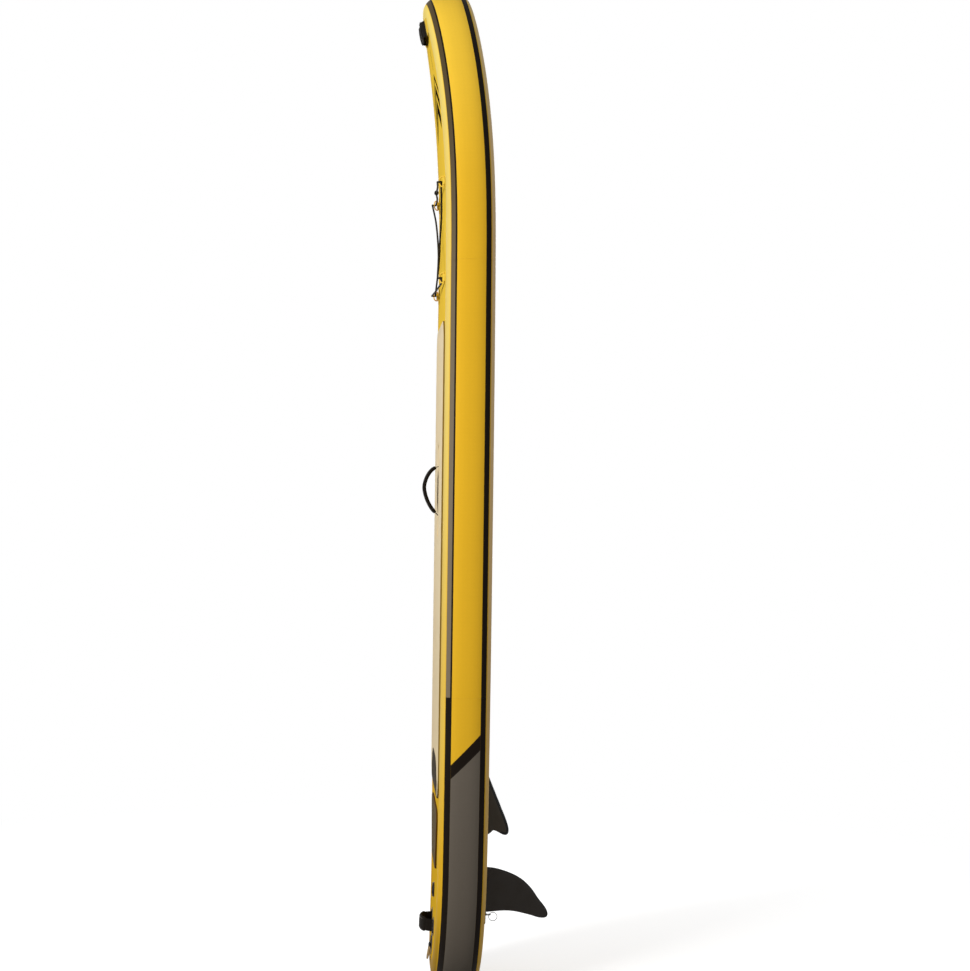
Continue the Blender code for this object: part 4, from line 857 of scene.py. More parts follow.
class Paint:
    """A material or world under way: a tree of nodes that ends in one shader."""

    def __init__(self, name, family="materials"):
        self.material = getattr(bpy.data, family).new(name)
        self.material.use_nodes = True
        self.tree = self.material.node_tree
        self.tree.nodes.clear()

    def node(self, kind, settings=None, inputs=None, output=0):
        """A node of a type, with its settings set first, then its sockets' values or links."""
        made = self.tree.nodes.new(kind)
        for key, value in (settings or {}).items():
            setattr(made, key, value)
        for key, value in (inputs or {}).items():
            socket = made.inputs[key]
            if isinstance(value, Value):
                self.tree.links.new(value.socket, socket)
            elif socket.type == "RGBA" and len(value) == 3:
                socket.default_value = (*value, 1.0)
            else:
                socket.default_value = value
        return Value(self, made.outputs[output]) if made.outputs else None

    def attribute(self, name):
        """A value carried by the piece's points."""
        return self.node("ShaderNodeAttribute", {"attribute_name": name}, output="Fac")

    def parts(self, vector, *axes):
        """The numbers of a vector along some axes, 0 to 2."""
        return [self.node("ShaderNodeSeparateXYZ", inputs={0: vector}, output=axis)
                for axis in axes]

    def surface_map(self):
        """The piece's own map: metres along its rows and along its columns."""
        return self.parts(self.node("ShaderNodeUVMap", {"uv_map": "surface"}), 0, 1)

    def object_place(self):
        """Object coordinates, in metres."""
        return self.node("ShaderNodeTexCoord", output="Object")

    def noise(self, scale, detail=3.0, roughness=0.55, stretch=None):
        """Fractal noise, 0 to 1, with scale blobs a metre; stretch scales each axis."""
        vector = self.object_place()
        if stretch:
            vector = self.node("ShaderNodeMapping", inputs={"Vector": vector, "Scale": stretch})
        return self.node("ShaderNodeTexNoise", inputs={
            "Vector": vector, "Scale": scale, "Detail": detail, "Roughness": roughness})

    def mix(self, share, low, high):
        """A colour between two colours."""
        return self.node("ShaderNodeMix", {"data_type": "RGBA"},
                         {0: share, 6: low, 7: high}, output=2)

    def shade(self, colour, amount, share):
        """A colour times 1 - amount to 1 + amount as share goes from 0 to 1."""
        factor = (share * 2 - 1) * amount + 1
        return self.node("ShaderNodeVectorMath", {"operation": "SCALE"},
                         {0: colour, "Scale": factor})

    def camera_share(self):
        """1 for rays whose result is seen: the camera's, and those in reflections and glass."""
        seen = [self.node("ShaderNodeLightPath", output="Is %s Ray" % kind)
                for kind in ("Camera", "Glossy", "Transmission")]
        return seen[0] | seen[1] | seen[2]

    def finish(self, colour, roughness, relief, metallic=0.0, specular=0.5, sheen=0.0):
        """End the tree in a Principled shader; relief is a height, its metres and strength."""
        height, distance, strength = relief
        normal = self.node("ShaderNodeBump", inputs={
            "Height": height, "Distance": distance, "Strength": strength})
        shader = self.node("ShaderNodeBsdfPrincipled", inputs={
            "Base Color": colour, "Roughness": roughness, "Metallic": metallic,
            "Specular IOR Level": specular, "Sheen Weight": sheen, "Normal": normal})
        self.node("ShaderNodeOutputMaterial", inputs={0: shader})
        return self.material


def coated_weave(paint, u, v):
    """Height of coated cloth: a fine square weave under a film, and the rows of tie yarns."""
    pitch = 2.4 * MM
    yarn = 13 * MM
    weave = u.wave(pitch) * v.wave(pitch)
    dimples = u.wave(yarn) * v.wave(yarn)
    return weave * 0.5 + dimples * 0.3 + paint.noise(900, 2.0) * 0.35


def rail_colour(paint, colours, stripes):
    """The rail's print: yellow, a stripe near each skin, and the band and panel at the tail."""
    s = paint.attribute("along")
    t = paint.attribute("depth")
    soft = 0.25
    black = tuple(colours.black)

    def below(ends):
        """1 on the tail side of a slanting edge: s grows evenly with t between its ends."""
        (t_low, s_low), (t_high, s_high) = ends
        edge = s_low + (t - t_low) * ((s_high - s_low) / (t_high - t_low))
        return 1 - (s - edge).past(0, 0.8 * MM)

    inside = t.between(stripes.deck_high, stripes.bottom_low, soft)
    # Painted light: the yellow is lighter towards the nose
    colour = paint.mix(s.rise(2.4, 3.15) * 0.42, tuple(colours.yellow), (1, 0.70, 0.08))
    colour = paint.mix(below(BAND_UPPER) * inside, colour, black)
    colour = paint.mix(below(BAND_LOWER) * inside, colour, tuple(colours.panel))
    # Painted reflection: the deck stripe's grey is lighter along the middle of the board, darker
    # towards the nose
    grey = paint.mix(s.rise(1.7, 2.9), tuple(colours.stripe), linear(79, 66, 44))
    stripe = paint.mix(s.past(TAIL_JOINT_S, 0.4 * MM), black, grey)
    stripe = paint.mix(t.past(stripes.deck_high - stripes.deck_line, soft), stripe, black)
    colour = paint.mix(t.between(stripes.deck_low, stripes.deck_high, soft), colour, stripe)
    colour = paint.mix(t.between(stripes.bottom_low, stripes.bottom_high, soft), colour, black)
    # Painted sheen: the film is paler along both skins, less so towards the tail
    bottom_side = t.past(64, 3)
    deck_side = 1 - t.past(-64, 3)
    colour = paint.mix(bottom_side * (s.rise(0.1, 1.9) * 0.17 + 0.10), colour, (1, 1, 1))
    pale = s.rise(0.4, 0.9) * 0.22 + s.rise(0.9, 1.8) * 0.18
    colour = paint.mix(deck_side * pale, colour, (0.72, 0.72, 0.30))
    # Painted shade: the deck side darkens towards the tail, where the board stands on the floor
    painted_tail_shade = deck_side * (1 - s.rise(0.04, 0.40)) * 0.6
    return paint.mix(painted_tail_shade, colour, linear(60, 40, 8))


def deck_colour(paint, colours):
    """The deck skin: yellow, with three plain chevrons and a short centre line at the nose."""
    s = paint.attribute("along")
    x = paint.attribute("across").math("ABSOLUTE")
    soft = 0.6 * MM
    slant = s + x * CHEVRON_SLANT
    first, second, third = (slant.between(*ends, soft) for ends in CHEVRONS)
    marks = (first | second | third) * (1 - x.past(CHEVRON_REACH, soft))
    line = s.between(*NOSE_LINE_S, soft) * (1 - x.past(NOSE_LINE_HALF, 0.5 * MM))
    # Painted light: the deck's yellow is brightened a little at the tail and more from the middle
    # of the board on
    plain = paint.mix(s.rise(0.4, 1.6) * 0.37 + 0.12, tuple(colours.yellow), (1, 0.72, 0.09))
    return paint.mix(marks | line, plain, tuple(colours.black))


def coated_fabric(name, colour_of, mapped=True, gloss=0.03):
    """Coated fabric of the hull: satin film over a woven base, a little dirty."""
    paint = Paint(name)
    u, v = paint.surface_map() if mapped else paint.parts(paint.object_place(), 0, 2)
    colour = colour_of(paint)
    cloud = paint.noise(3.5, 4.0)
    fine = paint.noise(60, 3.0)
    height = coated_weave(paint, u, v)
    colour = paint.shade(colour, 0.07, cloud * 0.5 + fine * 0.2 + height * 0.3)
    return paint.finish(colour, 0.52 + cloud * 0.10 + fine * 0.04, (height, 0.20 * MM, 0.55),
                        specular=gloss, sheen=gloss)


def foam(name, colours, plain=None):
    """Closed-cell foam: fine cells, grooves darkened with painted shade, and the standing pad's
    dark rear zone.
    """
    paint = Paint(name)
    cells = paint.noise(1400, 2.0)
    cloud = paint.noise(9, 4.0)
    streak = paint.noise(1.0, 3.0, stretch=(160, 160, 3))
    colour = plain
    wall = linear(84, 56, 12)
    if not plain:
        wall = linear(126, 104, 46)
        x, z = paint.parts(paint.object_place(), 0, 2)
        x = x.math("ABSOLUTE")
        edge = DARK_ZONE_END - (x / DARK_ZONE_HALF).math("POWER", 4.0) * DARK_ZONE_ROUND
        zone = 1 - (z + REST_HEIGHT - edge).past(0, 0.8 * MM)
        zone = zone * (1 - x.past(DARK_ZONE_HALF, 0.8 * MM))
        colour = paint.mix(zone, tuple(colours.sand), tuple(colours.dark))
    # Painted shade in the grooves
    colour = paint.mix(paint.attribute("groove") * 0.45, colour, (0.02, 0.017, 0.013))
    colour = paint.mix(paint.attribute("bevel"), colour, wall)
    colour = paint.shade(colour, 0.12, cloud * 0.4 + cells * 0.25 + streak * 0.35)
    height = cells * 0.6 + streak * 0.4
    return paint.finish(colour, 0.82 + cells * 0.1, (height, 0.12 * MM, 0.5), specular=0.06)


def woven_strap(name, colour, tab_start=None):
    """Woven webbing: a twill of slanting yarns, slightly worn; past tab_start it is yellow."""
    paint = Paint(name)
    if tab_start is not None:
        x, = paint.parts(paint.object_place(), 0)
        past = x.math("ABSOLUTE").past(tab_start, 0.3 * MM)
        colour = paint.mix(past, tuple(colour), PALE_YELLOW)
    u, v = paint.surface_map()
    pitch = 1.9 * MM
    twill = (u + v).wave(pitch) * (u - v).wave(pitch * 2)
    rib = v.wave(pitch * 1.5)
    wear = paint.noise(220, 3.0)
    height = twill * 0.6 + rib * 0.4
    tone = paint.shade(colour, 0.35, height * 0.7 + wear * 0.3)
    return paint.finish(tone, 0.74 + wear * 0.16, (height, 0.35 * MM, 0.8),
                        specular=0.06, sheen=0.03)


def padded_cover(name, colour):
    """The grips' cover: a close knitted face over foam."""
    paint = Paint(name)
    u, v = paint.surface_map()
    knit = u.wave(1.1 * MM) * v.wave(1.1 * MM)
    soft_folds = paint.noise(55, 3.0)
    tone = paint.shade(tuple(colour), 0.3, soft_folds * 0.6 + knit * 0.4)
    height = knit * 0.25 + soft_folds * 0.75
    return paint.finish(tone, 0.70 + soft_folds * 0.15, (height, 0.8 * MM, 0.45),
                        specular=0.06, sheen=0.03)


def braided_cord(name, colour, make):
    """Braided cover of the elastic cord: strands that wind both ways, with pale flecks."""
    paint = Paint(name)
    u, v = paint.surface_map()
    step = math.pi * make.diameter / make.strands
    one = (u * 0.8 + v).wave(step)
    other = (u * 0.8 - v).wave(step)
    height = one | other
    fleck = (one > 0.86) * (other < 0.3) * paint.noise(300, 1.0).rise(0.55, 0.62)
    tone = paint.shade(tuple(colour), 0.35, height)
    tone = paint.mix(fleck * 0.35, tone, (0.35, 0.33, 0.30))
    return paint.finish(tone, 0.72, (height, 0.35 * MM, 0.9), specular=0.08, sheen=0.03)


def moulded_plastic(name, colour, rim=None):
    """Moulded plastic: fine spark grain, faint scuffs; rim is the width, in millimetres, of painted
    shade along a fin's edge.
    """
    paint = Paint(name)
    grain = paint.noise(1700, 2.0)
    scuff = paint.noise(28, 5.0, 0.7)
    tone = paint.shade(tuple(colour), 0.2, scuff * 0.6 + grain * 0.4)
    if rim:
        # Painted shade: near black along the leading edge and the tip
        near = 1 - paint.attribute("edge").past(rim, 0.8)
        tone = paint.mix(near, tone, (0.003, 0.0028, 0.0025))
    roughness = 0.40 + scuff.rise(0.35, 0.75) * 0.18 + grain * 0.05
    return paint.finish(tone, roughness, (grain, 0.05 * MM, 0.5), specular=0.18)


def ring_metal(name, colour, dullness=0.20):
    """Polished steel wire with fine hairlines and dulled spots."""
    paint = Paint(name)
    hair = paint.noise(1.0, 2.0, stretch=(2600, 2600, 240))
    dull = paint.noise(160, 4.0)
    roughness = dullness + dull * 0.18 + hair * 0.06
    tone = paint.shade(tuple(colour), 0.10, dull)
    return paint.finish(tone, roughness, (hair, 0.02 * MM, 0.4), metallic=1.0)


def soft_seal(name):
    """Dark seal rubber with a faint bloom."""
    paint = Paint(name)
    bloom = paint.noise(400, 3.0)
    tone = paint.shade((0.035, 0.035, 0.036), 0.3, bloom)
    return paint.finish(tone, 0.62 + bloom * 0.15, (bloom, 0.05 * MM, 0.4))


def core_weave(name):
    """White polyester cloth of the drop-stitch core."""
    paint = Paint(name)
    checks = paint.node("ShaderNodeTexChecker", inputs={
        "Vector": paint.object_place(), "Scale": 420.0}, output="Fac")
    cloud = paint.noise(14, 3.0)
    tone = paint.shade((0.72, 0.71, 0.67), 0.08, checks * 0.4 + cloud * 0.6)
    return paint.finish(tone, 0.86, (checks, 0.2 * MM, 0.5), sheen=0.1)


def stitch_thread(name, colour):
    """Thick polyester sewing thread, twisted."""
    paint = Paint(name)
    u, v = paint.surface_map()
    twist = (u + v).wave(0.5 * MM)
    tone = paint.shade(colour, 0.08, twist)
    return paint.finish(tone, 0.6, (twist, 0.1 * MM, 0.7), sheen=0.1)


MATERIALS = {}


def make_materials(scene):
    """Every material of the board, by the key that its pieces give."""
    colours = scene.board_colours
    webbing = tuple(colours.webbing)
    plastic = tuple(colours.plastic)
    MATERIALS.update({
        "rail": coated_fabric("rail_fabric", lambda paint: rail_colour(
            paint, colours, scene.stripe_layout)),
        "deck": coated_fabric("deck_fabric", lambda paint: deck_colour(paint, colours),
                              gloss=0.0),
        "bottom": coated_fabric("bottom_fabric", lambda paint: tuple(colours.yellow)),
        "pale_patch": coated_fabric("pale_patch_fabric", lambda paint: PALE_YELLOW,
                                    gloss=0.0),
        "grey_patch": coated_fabric("grey_patch_fabric", lambda paint: tuple(colours.panel)),
        "black_patch": coated_fabric("black_patch_fabric", lambda paint: tuple(colours.black),
                                     mapped=False),
        "deck_foam": foam("deck_pad_foam", colours),
        # The kick pad's foam is lighter than the dark foam: partly dust, partly painted sheen
        "tail_foam": foam("tail_pad_foam", colours, linear(92, 79, 56)),
        "webbing": woven_strap("strap_webbing", webbing),
        "nose_webbing": woven_strap("nose_webbing", webbing, tab_start=NOSE_HALF_SPAN),
        "yellow_webbing": woven_strap("yellow_webbing", PALE_YELLOW),
        "grip": padded_cover("grip_cover", webbing),
        "cord": braided_cord("cargo_cord_braid", webbing, scene.cord_make),
        "plastic": moulded_plastic("fitting_plastic", plastic),
        "centre_fin": moulded_plastic("centre_fin_plastic", plastic, rim=CENTRE_FIN_SHADE_RIM),
        "side_fin": moulded_plastic("side_fin_plastic", linear(62, 57, 50), rim=SIDE_FIN_SHADE_RIM),
        "steel": ring_metal("ring_steel", colours.steel),
        "clip_steel": ring_metal("clip_ring_steel", linear(40, 36, 31), 0.42),
        "leash_steel": ring_metal("leash_ring_steel", linear(138, 116, 80), 0.38),
        "coated_ring": moulded_plastic("coated_ring_finish", linear(232, 190, 62)),
        "seal": soft_seal("seal_rubber"),
        "core": core_weave("core_cloth"),
        "thread": stitch_thread("stitch_thread", (0.10, 0.095, 0.085)),
    })


# Hull pieces


def rail_section(bulge, half, steps):
    """The rail's open outline as offset from the seam and t: a half superellipse, and flanges."""
    turn = np.linspace(-math.pi / 2, math.pi / 2, steps)
    out = bulge * bent(np.maximum(np.cos(turn), 0), 2 / RAIL_POWER)
    t = half * bent(np.sin(turn), 2 / RAIL_POWER)
    lap = np.array([-RAIL_FLANGE, -RAIL_FLANGE / 2])
    return (np.concatenate([lap, out, lap[::-1]]),
            np.concatenate([[-half, -half], t, [half, half]]))


def rail_surface(start, end):
    """A rail band between two arc lengths: its section at each, pressed flat at the floor."""
    marks = path_marks(RAIL_MARKS)
    every = np.unique(np.concatenate([-marks, marks, 2 * SEAM_END - marks]))
    inner_marks = every[(every > start + 2 * MM) & (every < end - 2 * MM)]
    arcs = np.concatenate([[start], inner_marks, [end]])
    x, s, nx, ns = (value[:, None] for value in seam_at(arcs))
    out, t = rail_section(RAIL_BULGE, HALF, 55)
    back, under = rail_section(RAIL_BULGE - RAIL_WALL, HALF - RAIL_WALL, 19)
    floor = np.repeat([0.0, RAIL_WALL], [len(out), len(back)])
    out = np.concatenate([out, back[::-1]])
    t = np.concatenate([t, under[::-1]])
    along = s + out * ns
    points = place(x + out * nx, t, along)
    points[..., 2] = np.maximum(points[..., 2], floor)
    return grid(points, close_columns=True, caps=True, values={"along": along, "depth": t / MM})


def build_rails():
    """Four rail bands that meet at the joints with a hair's gap."""
    nose = arc_at_s(NOSE_JOINT_S)
    tail = arc_at_s(TAIL_JOINT_S)
    half_gap = GAP / 2
    bands = {
        "nose": (half_gap - nose, nose - half_gap, "yellow_pvc"),
        "right": (nose + half_gap, tail - half_gap, "yellow_pvc"),
        "left": (half_gap - tail, -nose - half_gap, "yellow_pvc"),
        "tail": (tail + half_gap, 2 * SEAM_END - tail - half_gap, "grey_pvc"),
    }
    for name, (start, end, slot) in bands.items():
        piece("rail_" + name, rail_surface(start, end), "rail", ["rail_band_" + name])


def skin_surface(side):
    """A skin from nose to tail: straight across the board between the seams, 1 mm thick."""
    arcs = path_marks(SKIN_MARKS)[3:-3]
    x, s, nx, ns = (value[:, None] for value in seam_at(arcs))
    x = x - SKIN_INSET * nx
    s = s - SKIN_INSET * ns
    across = np.linspace(-1, 1, 25)
    t = side * np.repeat([SKIN_OUT, SKIN_OUT - SKIN_WALL], len(across))
    across = np.concatenate([across, across[::-1]])
    values = {"along": s, "across": x * across}
    return grid(place(x * across, t, s), close_columns=True, caps=True, values=values)


def build_skins():
    """The deck skin with the valve's hole, the bottom skin, and the core between them."""
    outline = turning([(BARREL_RADIUS + GAP, -8 * MM), (BARREL_RADIUS + GAP, 4 * MM)], 48)
    hole = grid(outline, close_columns=True, caps=True).moved(hull_frame(0, VALVE_S, -1))
    piece("deck_cover", cut(skin_surface(-1), [hole], "deck_cover"), "deck",
          ["deck_skin"])
    piece("bottom_cover", skin_surface(1), "bottom", ["bottom_skin"])
    dress_node("drop_stitch_core", "core")


def dress_node(node, material):
    """Give a carried-over solid its material."""
    made = frame["nodes"][node]
    made.data.materials.clear()
    made.data.materials.append(MATERIALS[material])


# Pads


def spread(*groups):
    """Places in order, without those less than a quarter of a millimetre past the one before."""
    places = np.unique(np.round(np.concatenate(groups), 5))
    return places[np.concatenate([[True], np.diff(places) > 0.25 * MM])]


def pad_rows(half_length, stops):
    """Row places from the pad's rear end: close at both ends and at each stop."""
    ends = np.concatenate([PAD_EDGE_STEPS, [27 * MM, 30 * MM]])
    middle = np.linspace(ends[-1], 2 * half_length - ends[-1], int(half_length * 90))
    near = [stop + sign * PAD_END_STEPS for stop, sign in stops]
    return spread(ends, middle, 2 * half_length - ends, *near)


def pad_columns(half_width, corner, grooves, stops):
    """Column places across the pad: each groove's profile, round corners and stops."""
    count = int((half_width - grooves.margin) / grooves.pitch)
    lines = np.arange(-count, count + 1) * grooves.pitch
    bend = half_width - corner * (1 - np.cos(np.radians(np.arange(6, 91, 6))))
    near = [stop + PAD_SIDE_STEPS for stop in stops]
    half = np.concatenate([half_width - PAD_EDGE_STEPS, bend, *near])
    return spread((lines[:, None] + GROOVE_STEPS).ravel(), half, -half)


def pad_surface(half_width, half_length, corner, grooves, opening=None, taper=1.0):
    """A foam pad on its frame's XY plane, as a height over a rounded rectangle.

    The height drops in a quarter curve at the outline and the opening, and in each groove.
    opening is the opening's half sizes and corner, and how far it is from the pad's middle.
    """
    stops_x, stops_y = [], []
    if opening:
        hole, shift = opening
        middle = half_length + shift
        stops_x = [hole[0]]
        stops_y = [(middle + hole[1], -1), (middle - hole[1], 1)]
    x = pad_columns(half_width, corner, grooves, stops_x)
    rows = pad_rows(half_length, stops_y)
    over = np.maximum(np.abs(x) - (half_width - corner), 0)
    inset = corner - np.sqrt(np.maximum(corner ** 2 - over ** 2, 0))
    share = rows[:, None] / (2 * half_length)
    y = -half_length + inset + share * 2 * (half_length - inset)
    x = np.broadcast_to(x, y.shape)
    depth = rounded_depth(x, y, half_width, half_length, corner)
    clear = depth - grooves.margin
    drop = PAD_EDGE_DROP * (1 - np.clip(depth / PAD_EDGE_REACH, 0, 1)) ** 2
    if opening:
        outside = -rounded_depth(x, y - shift, *hole)
        drop = drop + PAD_EDGE_DROP * (1 - np.clip(outside / PAD_EDGE_REACH, 0, 1)) ** 2
        clear = np.minimum(clear, outside - 0.6 * grooves.margin)
    off_line = np.abs((x / grooves.pitch + 0.5) % 1 - 0.5) * grooves.pitch
    sunk = 1 - np.clip((off_line - GROOVE_FLAT) / GROOVE_SLOPE, 0, 1)
    sunk = sunk * np.clip(clear / GROOVE_END, 0, 1)
    z = PAD_THICK - np.minimum(drop, PAD_THICK * 0.6) - grooves.depth * sunk
    x = x * (1 - (1 - share) * (1 - taper))
    values = {"groove": sunk, "bevel": 1 - np.clip((depth - PAD_BEVEL) / PAD_BEVEL, 0, 1)}
    points = np.pad(np.stack([x, y, z], -1), ((1, 1), (1, 1), (0, 0)), mode="edge")
    points[[0, -1], :, 2] = 0
    points[:, [0, -1], 2] = 0
    values = {key: np.pad(value, 1, mode="edge") for key, value in values.items()}
    made = grid(points, values=values)
    index = np.arange(len(made.points)).reshape(points.shape[:2])
    made.ends = [np.concatenate([index[0], index[1:, -1], index[-1, -2::-1], index[-2:0:-1, 0]])]
    return made


def build_pads(grooves):
    """The standing pad with the handle's opening, and the kick pad behind it."""
    middle = sum(DECK_PAD_S) / 2
    half_length = (DECK_PAD_S[1] - DECK_PAD_S[0]) / 2
    shift = CARRY_S - middle
    surface = pad_surface(DECK_PAD_HALF_WIDTH, half_length, DECK_PAD_CORNER, grooves,
                          (PAD_OPENING, shift))
    seat = hull_frame(0, middle, -1, GAP)
    hole = prism(rounded_rectangle(*PAD_OPENING), -2 * MM, 2 * PAD_THICK,
                 shifted(seat, y=shift))
    piece("standing_pad", cut(surface.moved(seat), [hole], "standing_pad"), "deck_foam",
          ["deck_pad"])
    middle = sum(TAIL_PAD_S) / 2
    half_length = (TAIL_PAD_S[1] - TAIL_PAD_S[0]) / 2
    narrow, wide = TAIL_PAD_HALF_WIDTH
    seat = hull_frame(0, middle, -1, GAP + seat_lift(middle, half_length))
    surface = pad_surface(wide, half_length, TAIL_PAD_CORNER, grooves, taper=narrow / wide)
    piece("kick_pad", surface.moved(seat), "tail_foam", ["tail_pad"])


# Straps, grips, stitches and patches


def strap_path(line, made, spacing=2 * MM):
    """A strap's middle line in the world, and its outward directions, from a YZ line."""
    flat = even(smooth(line, 8), spacing)
    flat = np.column_stack([np.zeros(len(flat)), flat])
    up = slopes(flat)[:, [0, 2, 1]] * (1, -1, 1)
    return in_world(made, flat), up @ made[:3, :3].T


def stitches(path, up, offset, lift, pitch=4.2 * MM, length=3.0 * MM, radius=0.45 * MM):
    """A row of sewn stitches beside a path: short beads of thread that dip at both ends."""
    beads = even(np.column_stack([path, np.broadcast_to(up, path.shape)]), pitch)
    at, out = beads[:, :3], beads[:, 3:]
    out = out / np.linalg.norm(out, axis=1)[:, None]
    along = slopes(at)
    across = np.cross(along, out)
    share = np.linspace(-1, 1, 5)
    bow = np.sqrt(np.maximum(1.05 - share ** 2, 0.02))
    turn = full_turn(6)
    bead = np.stack([
        np.repeat(share[:, None] * length / 2, len(turn), 1),
        np.multiply.outer(bow, np.cos(turn)) * radius,
        np.multiply.outer(bow, np.sin(turn)) * radius + (bow[:, None] - 1) * radius,
    ], -1)
    origins = at + across * offset + out * lift
    return copies(grid(bead, close_columns=True, caps=True), origins,
                  np.stack([along, across, out], 1))


def arch_line(half_span, top, skew, power, tab, first):
    """A strap's line: a tab on the deck, a superellipse arch, and the other tab."""
    floor = WEB_FLOOR + WEB_THICK / 2
    turn = np.radians(np.arange(first, 181 - first, 12))
    arch = np.column_stack([skew * np.sin(turn) - half_span * bent(np.cos(turn), 2 / power),
                            floor + (top - floor) * np.sin(turn) ** (2 / power)])
    start = [(-half_span - tab, floor), (-half_span - 5 * MM, floor)]
    end = [(half_span + 5 * MM, floor), (half_span + tab, floor)]
    return np.concatenate([start, arch, end])


def padded_sleeve(line, made, width, thick, slot_width, end_share, power):
    """A grip: an oval section along the strap that swells from its closed ends."""
    path, up = strap_path(line, made, 2.5 * MM)
    run = np.linspace(0, length_of(path), len(path))
    swell = np.clip(np.minimum(run, run[-1] - run) / GRIP_END, 0, 1)
    swell = np.sqrt(1 - (1 - swell) ** 2)
    pucker = 1 + 0.012 * np.sin(run / (9 * MM)) * np.sin(run / (5.2 * MM))
    half_u = (slot_width / 2 + (width - slot_width) / 2 * (0.35 + 0.65 * swell)) * pucker
    inner = WEB_THICK / 2 + GRIP_SLACK
    half_v = inner + (thick / 2 - inner) * (end_share + (1 - end_share) * swell)
    section = oval(half_u, half_v * pucker, power, 44)
    # A bound seam runs along both sides
    turn = full_turn(44)
    bead = GRIP_SEAM * np.exp(-(np.sin(turn) / 0.14) ** 2) * np.sign(np.cos(turn))
    section[..., 0] += bead * swell[:, None]
    return sweep(path, up, section), path, up


def build_handle(name, line, made, web_width, grip_rows, grip_width, grip_thick,
                 end_share=0.3, power=2.7, strap_material="webbing"):
    """A handle: its webbing with stitched tabs, and the padded grip round its middle."""
    path, up = strap_path(line, made)
    strap = sweep(path, up, stadium(web_width, WEB_THICK))
    piece(name + "_webbing", strap, strap_material, [name + "_strap"])
    top = WEB_THICK / 2
    reach = web_width / 2 - STITCH_INSET
    across = np.cross(slopes(path)[0], up[0])
    rows = []
    for tab in (slice(1, TAB_POINTS), slice(-TAB_POINTS, -1)):
        rows += [stitches(path[tab], up[tab], side * reach, top) for side in (-1, 1)]
        for end, rise in zip(path[tab][[0, -1]], up[tab][[0, -1]]):
            bar = even(np.stack([end - across * reach, end + across * reach]), 3 * MM)
            rows.append(stitches(bar, rise, 0.0, top))
    grip, grip_path, grip_up = padded_sleeve(line[grip_rows], made, grip_width, grip_thick,
                                             web_width, end_share, power)
    reach = grip_width / 2 - GRIP_STITCH_INSET
    rows += [stitches(grip_path[5:-5], grip_up[5:-5], side * reach, 0.90 * grip_thick / 2)
             for side in (-1, 1)]
    piece(name + "_stitching", joined(*rows), "thread")
    piece(name + "_padding", grip, "grip", [name + "_grip"])


def patch_surface(radius, made):
    """A round glued patch: flat top, a pressed line near its rim, and a soft edge."""
    line = radius - 4.5 * MM
    pressed = PATCH_TOP - 0.25 * MM
    profile = [(0.0, PATCH_TOP), (line - 1.2 * MM, PATCH_TOP), (line - 0.5 * MM, pressed),
               (line + 0.5 * MM, pressed), (line + 1.2 * MM, PATCH_TOP),
               (radius - 0.9 * MM, PATCH_TOP), (radius - 0.3 * MM, PATCH_TOP - 0.2 * MM),
               (radius, PATCH_TOP - 0.6 * MM), (radius, GAP), (0.0, GAP)]
    return grid(turning(profile, 72), close_columns=True).moved(made)


def patch(name, x, s, radius, base=0.0, material="grey_patch"):
    """A round patch on the deck; base raises it over the rail's flange."""
    made = hull_frame(x, s, -1, base + seat_lift(s, radius))
    piece(name + "_disc", patch_surface(radius, made), material, [name])


def across_frame(s, height):
    """A deck frame turned so that its Y runs across the board, to +X."""
    return turned_frame(hull_frame(0, s, -1, height), -math.pi / 2, "Z")


def build_carry_handle():
    """The padded handle in the board's middle, along its length, and its two patches."""
    line = arch_line(CARRY_HALF_SPAN, CARRY_TOP - CARRY_GRIP_THICK / 2, CARRY_SKEW,
                     CARRY_ARCH_POWER, CARRY_TAB, 18)
    build_handle("carry_handle", line, hull_frame(0, CARRY_S, -1), CARRY_WEB_WIDTH, slice(2, -2),
                 CARRY_GRIP_WIDTH, CARRY_GRIP_THICK, end_share=0.6)
    for name, side in (("front", 1), ("rear", -1)):
        patch("carry_handle_patch_" + name, 0, CARRY_S + side * (CARRY_HALF_SPAN + 22 * MM),
              CARRY_PATCH_RADIUS)


def nose_line():
    """The nose handle's middle line: low shoulders and a slightly sagging middle."""
    floor = WEB_FLOOR + WEB_THICK / 2
    top = NOSE_TOP - NOSE_GRIP_THICK / 2
    reach = NOSE_HALF_SPAN - np.array([-26, -2, 6, 14, 24, 35, 49, 60]) * MM
    height = [floor, floor, floor + 4.5 * MM, floor + 10 * MM, top - 1.5 * MM, top,
              top - 0.5 * NOSE_SAG, top - 0.9 * NOSE_SAG]
    half = np.column_stack([reach, height])
    return np.concatenate([half * (-1, 1), [(0.0, top - NOSE_SAG)], half[::-1]])


def build_nose_handle():
    """The flat padded handle near the nose, over the rails' flanges."""
    lift = HALF - SKIN_OUT + seat_lift(NOSE_HANDLE_S, NOSE_WEB_WIDTH / 2)
    made = across_frame(NOSE_HANDLE_S, lift)
    build_handle("nose_handle", nose_line(), made, NOSE_WEB_WIDTH, slice(4, -4), NOSE_GRIP_WIDTH,
                 NOSE_GRIP_THICK, power=2.0, strap_material="nose_webbing")
    for name, side in (("left", -1), ("right", 1)):
        seat = shifted(made, y=side * (NOSE_HALF_SPAN + 5 * MM))
        piece("nose_handle_disc_" + name, patch_surface(NOSE_PATCH_RADIUS, seat), "pale_patch",
              ["nose_handle_patch_" + name])


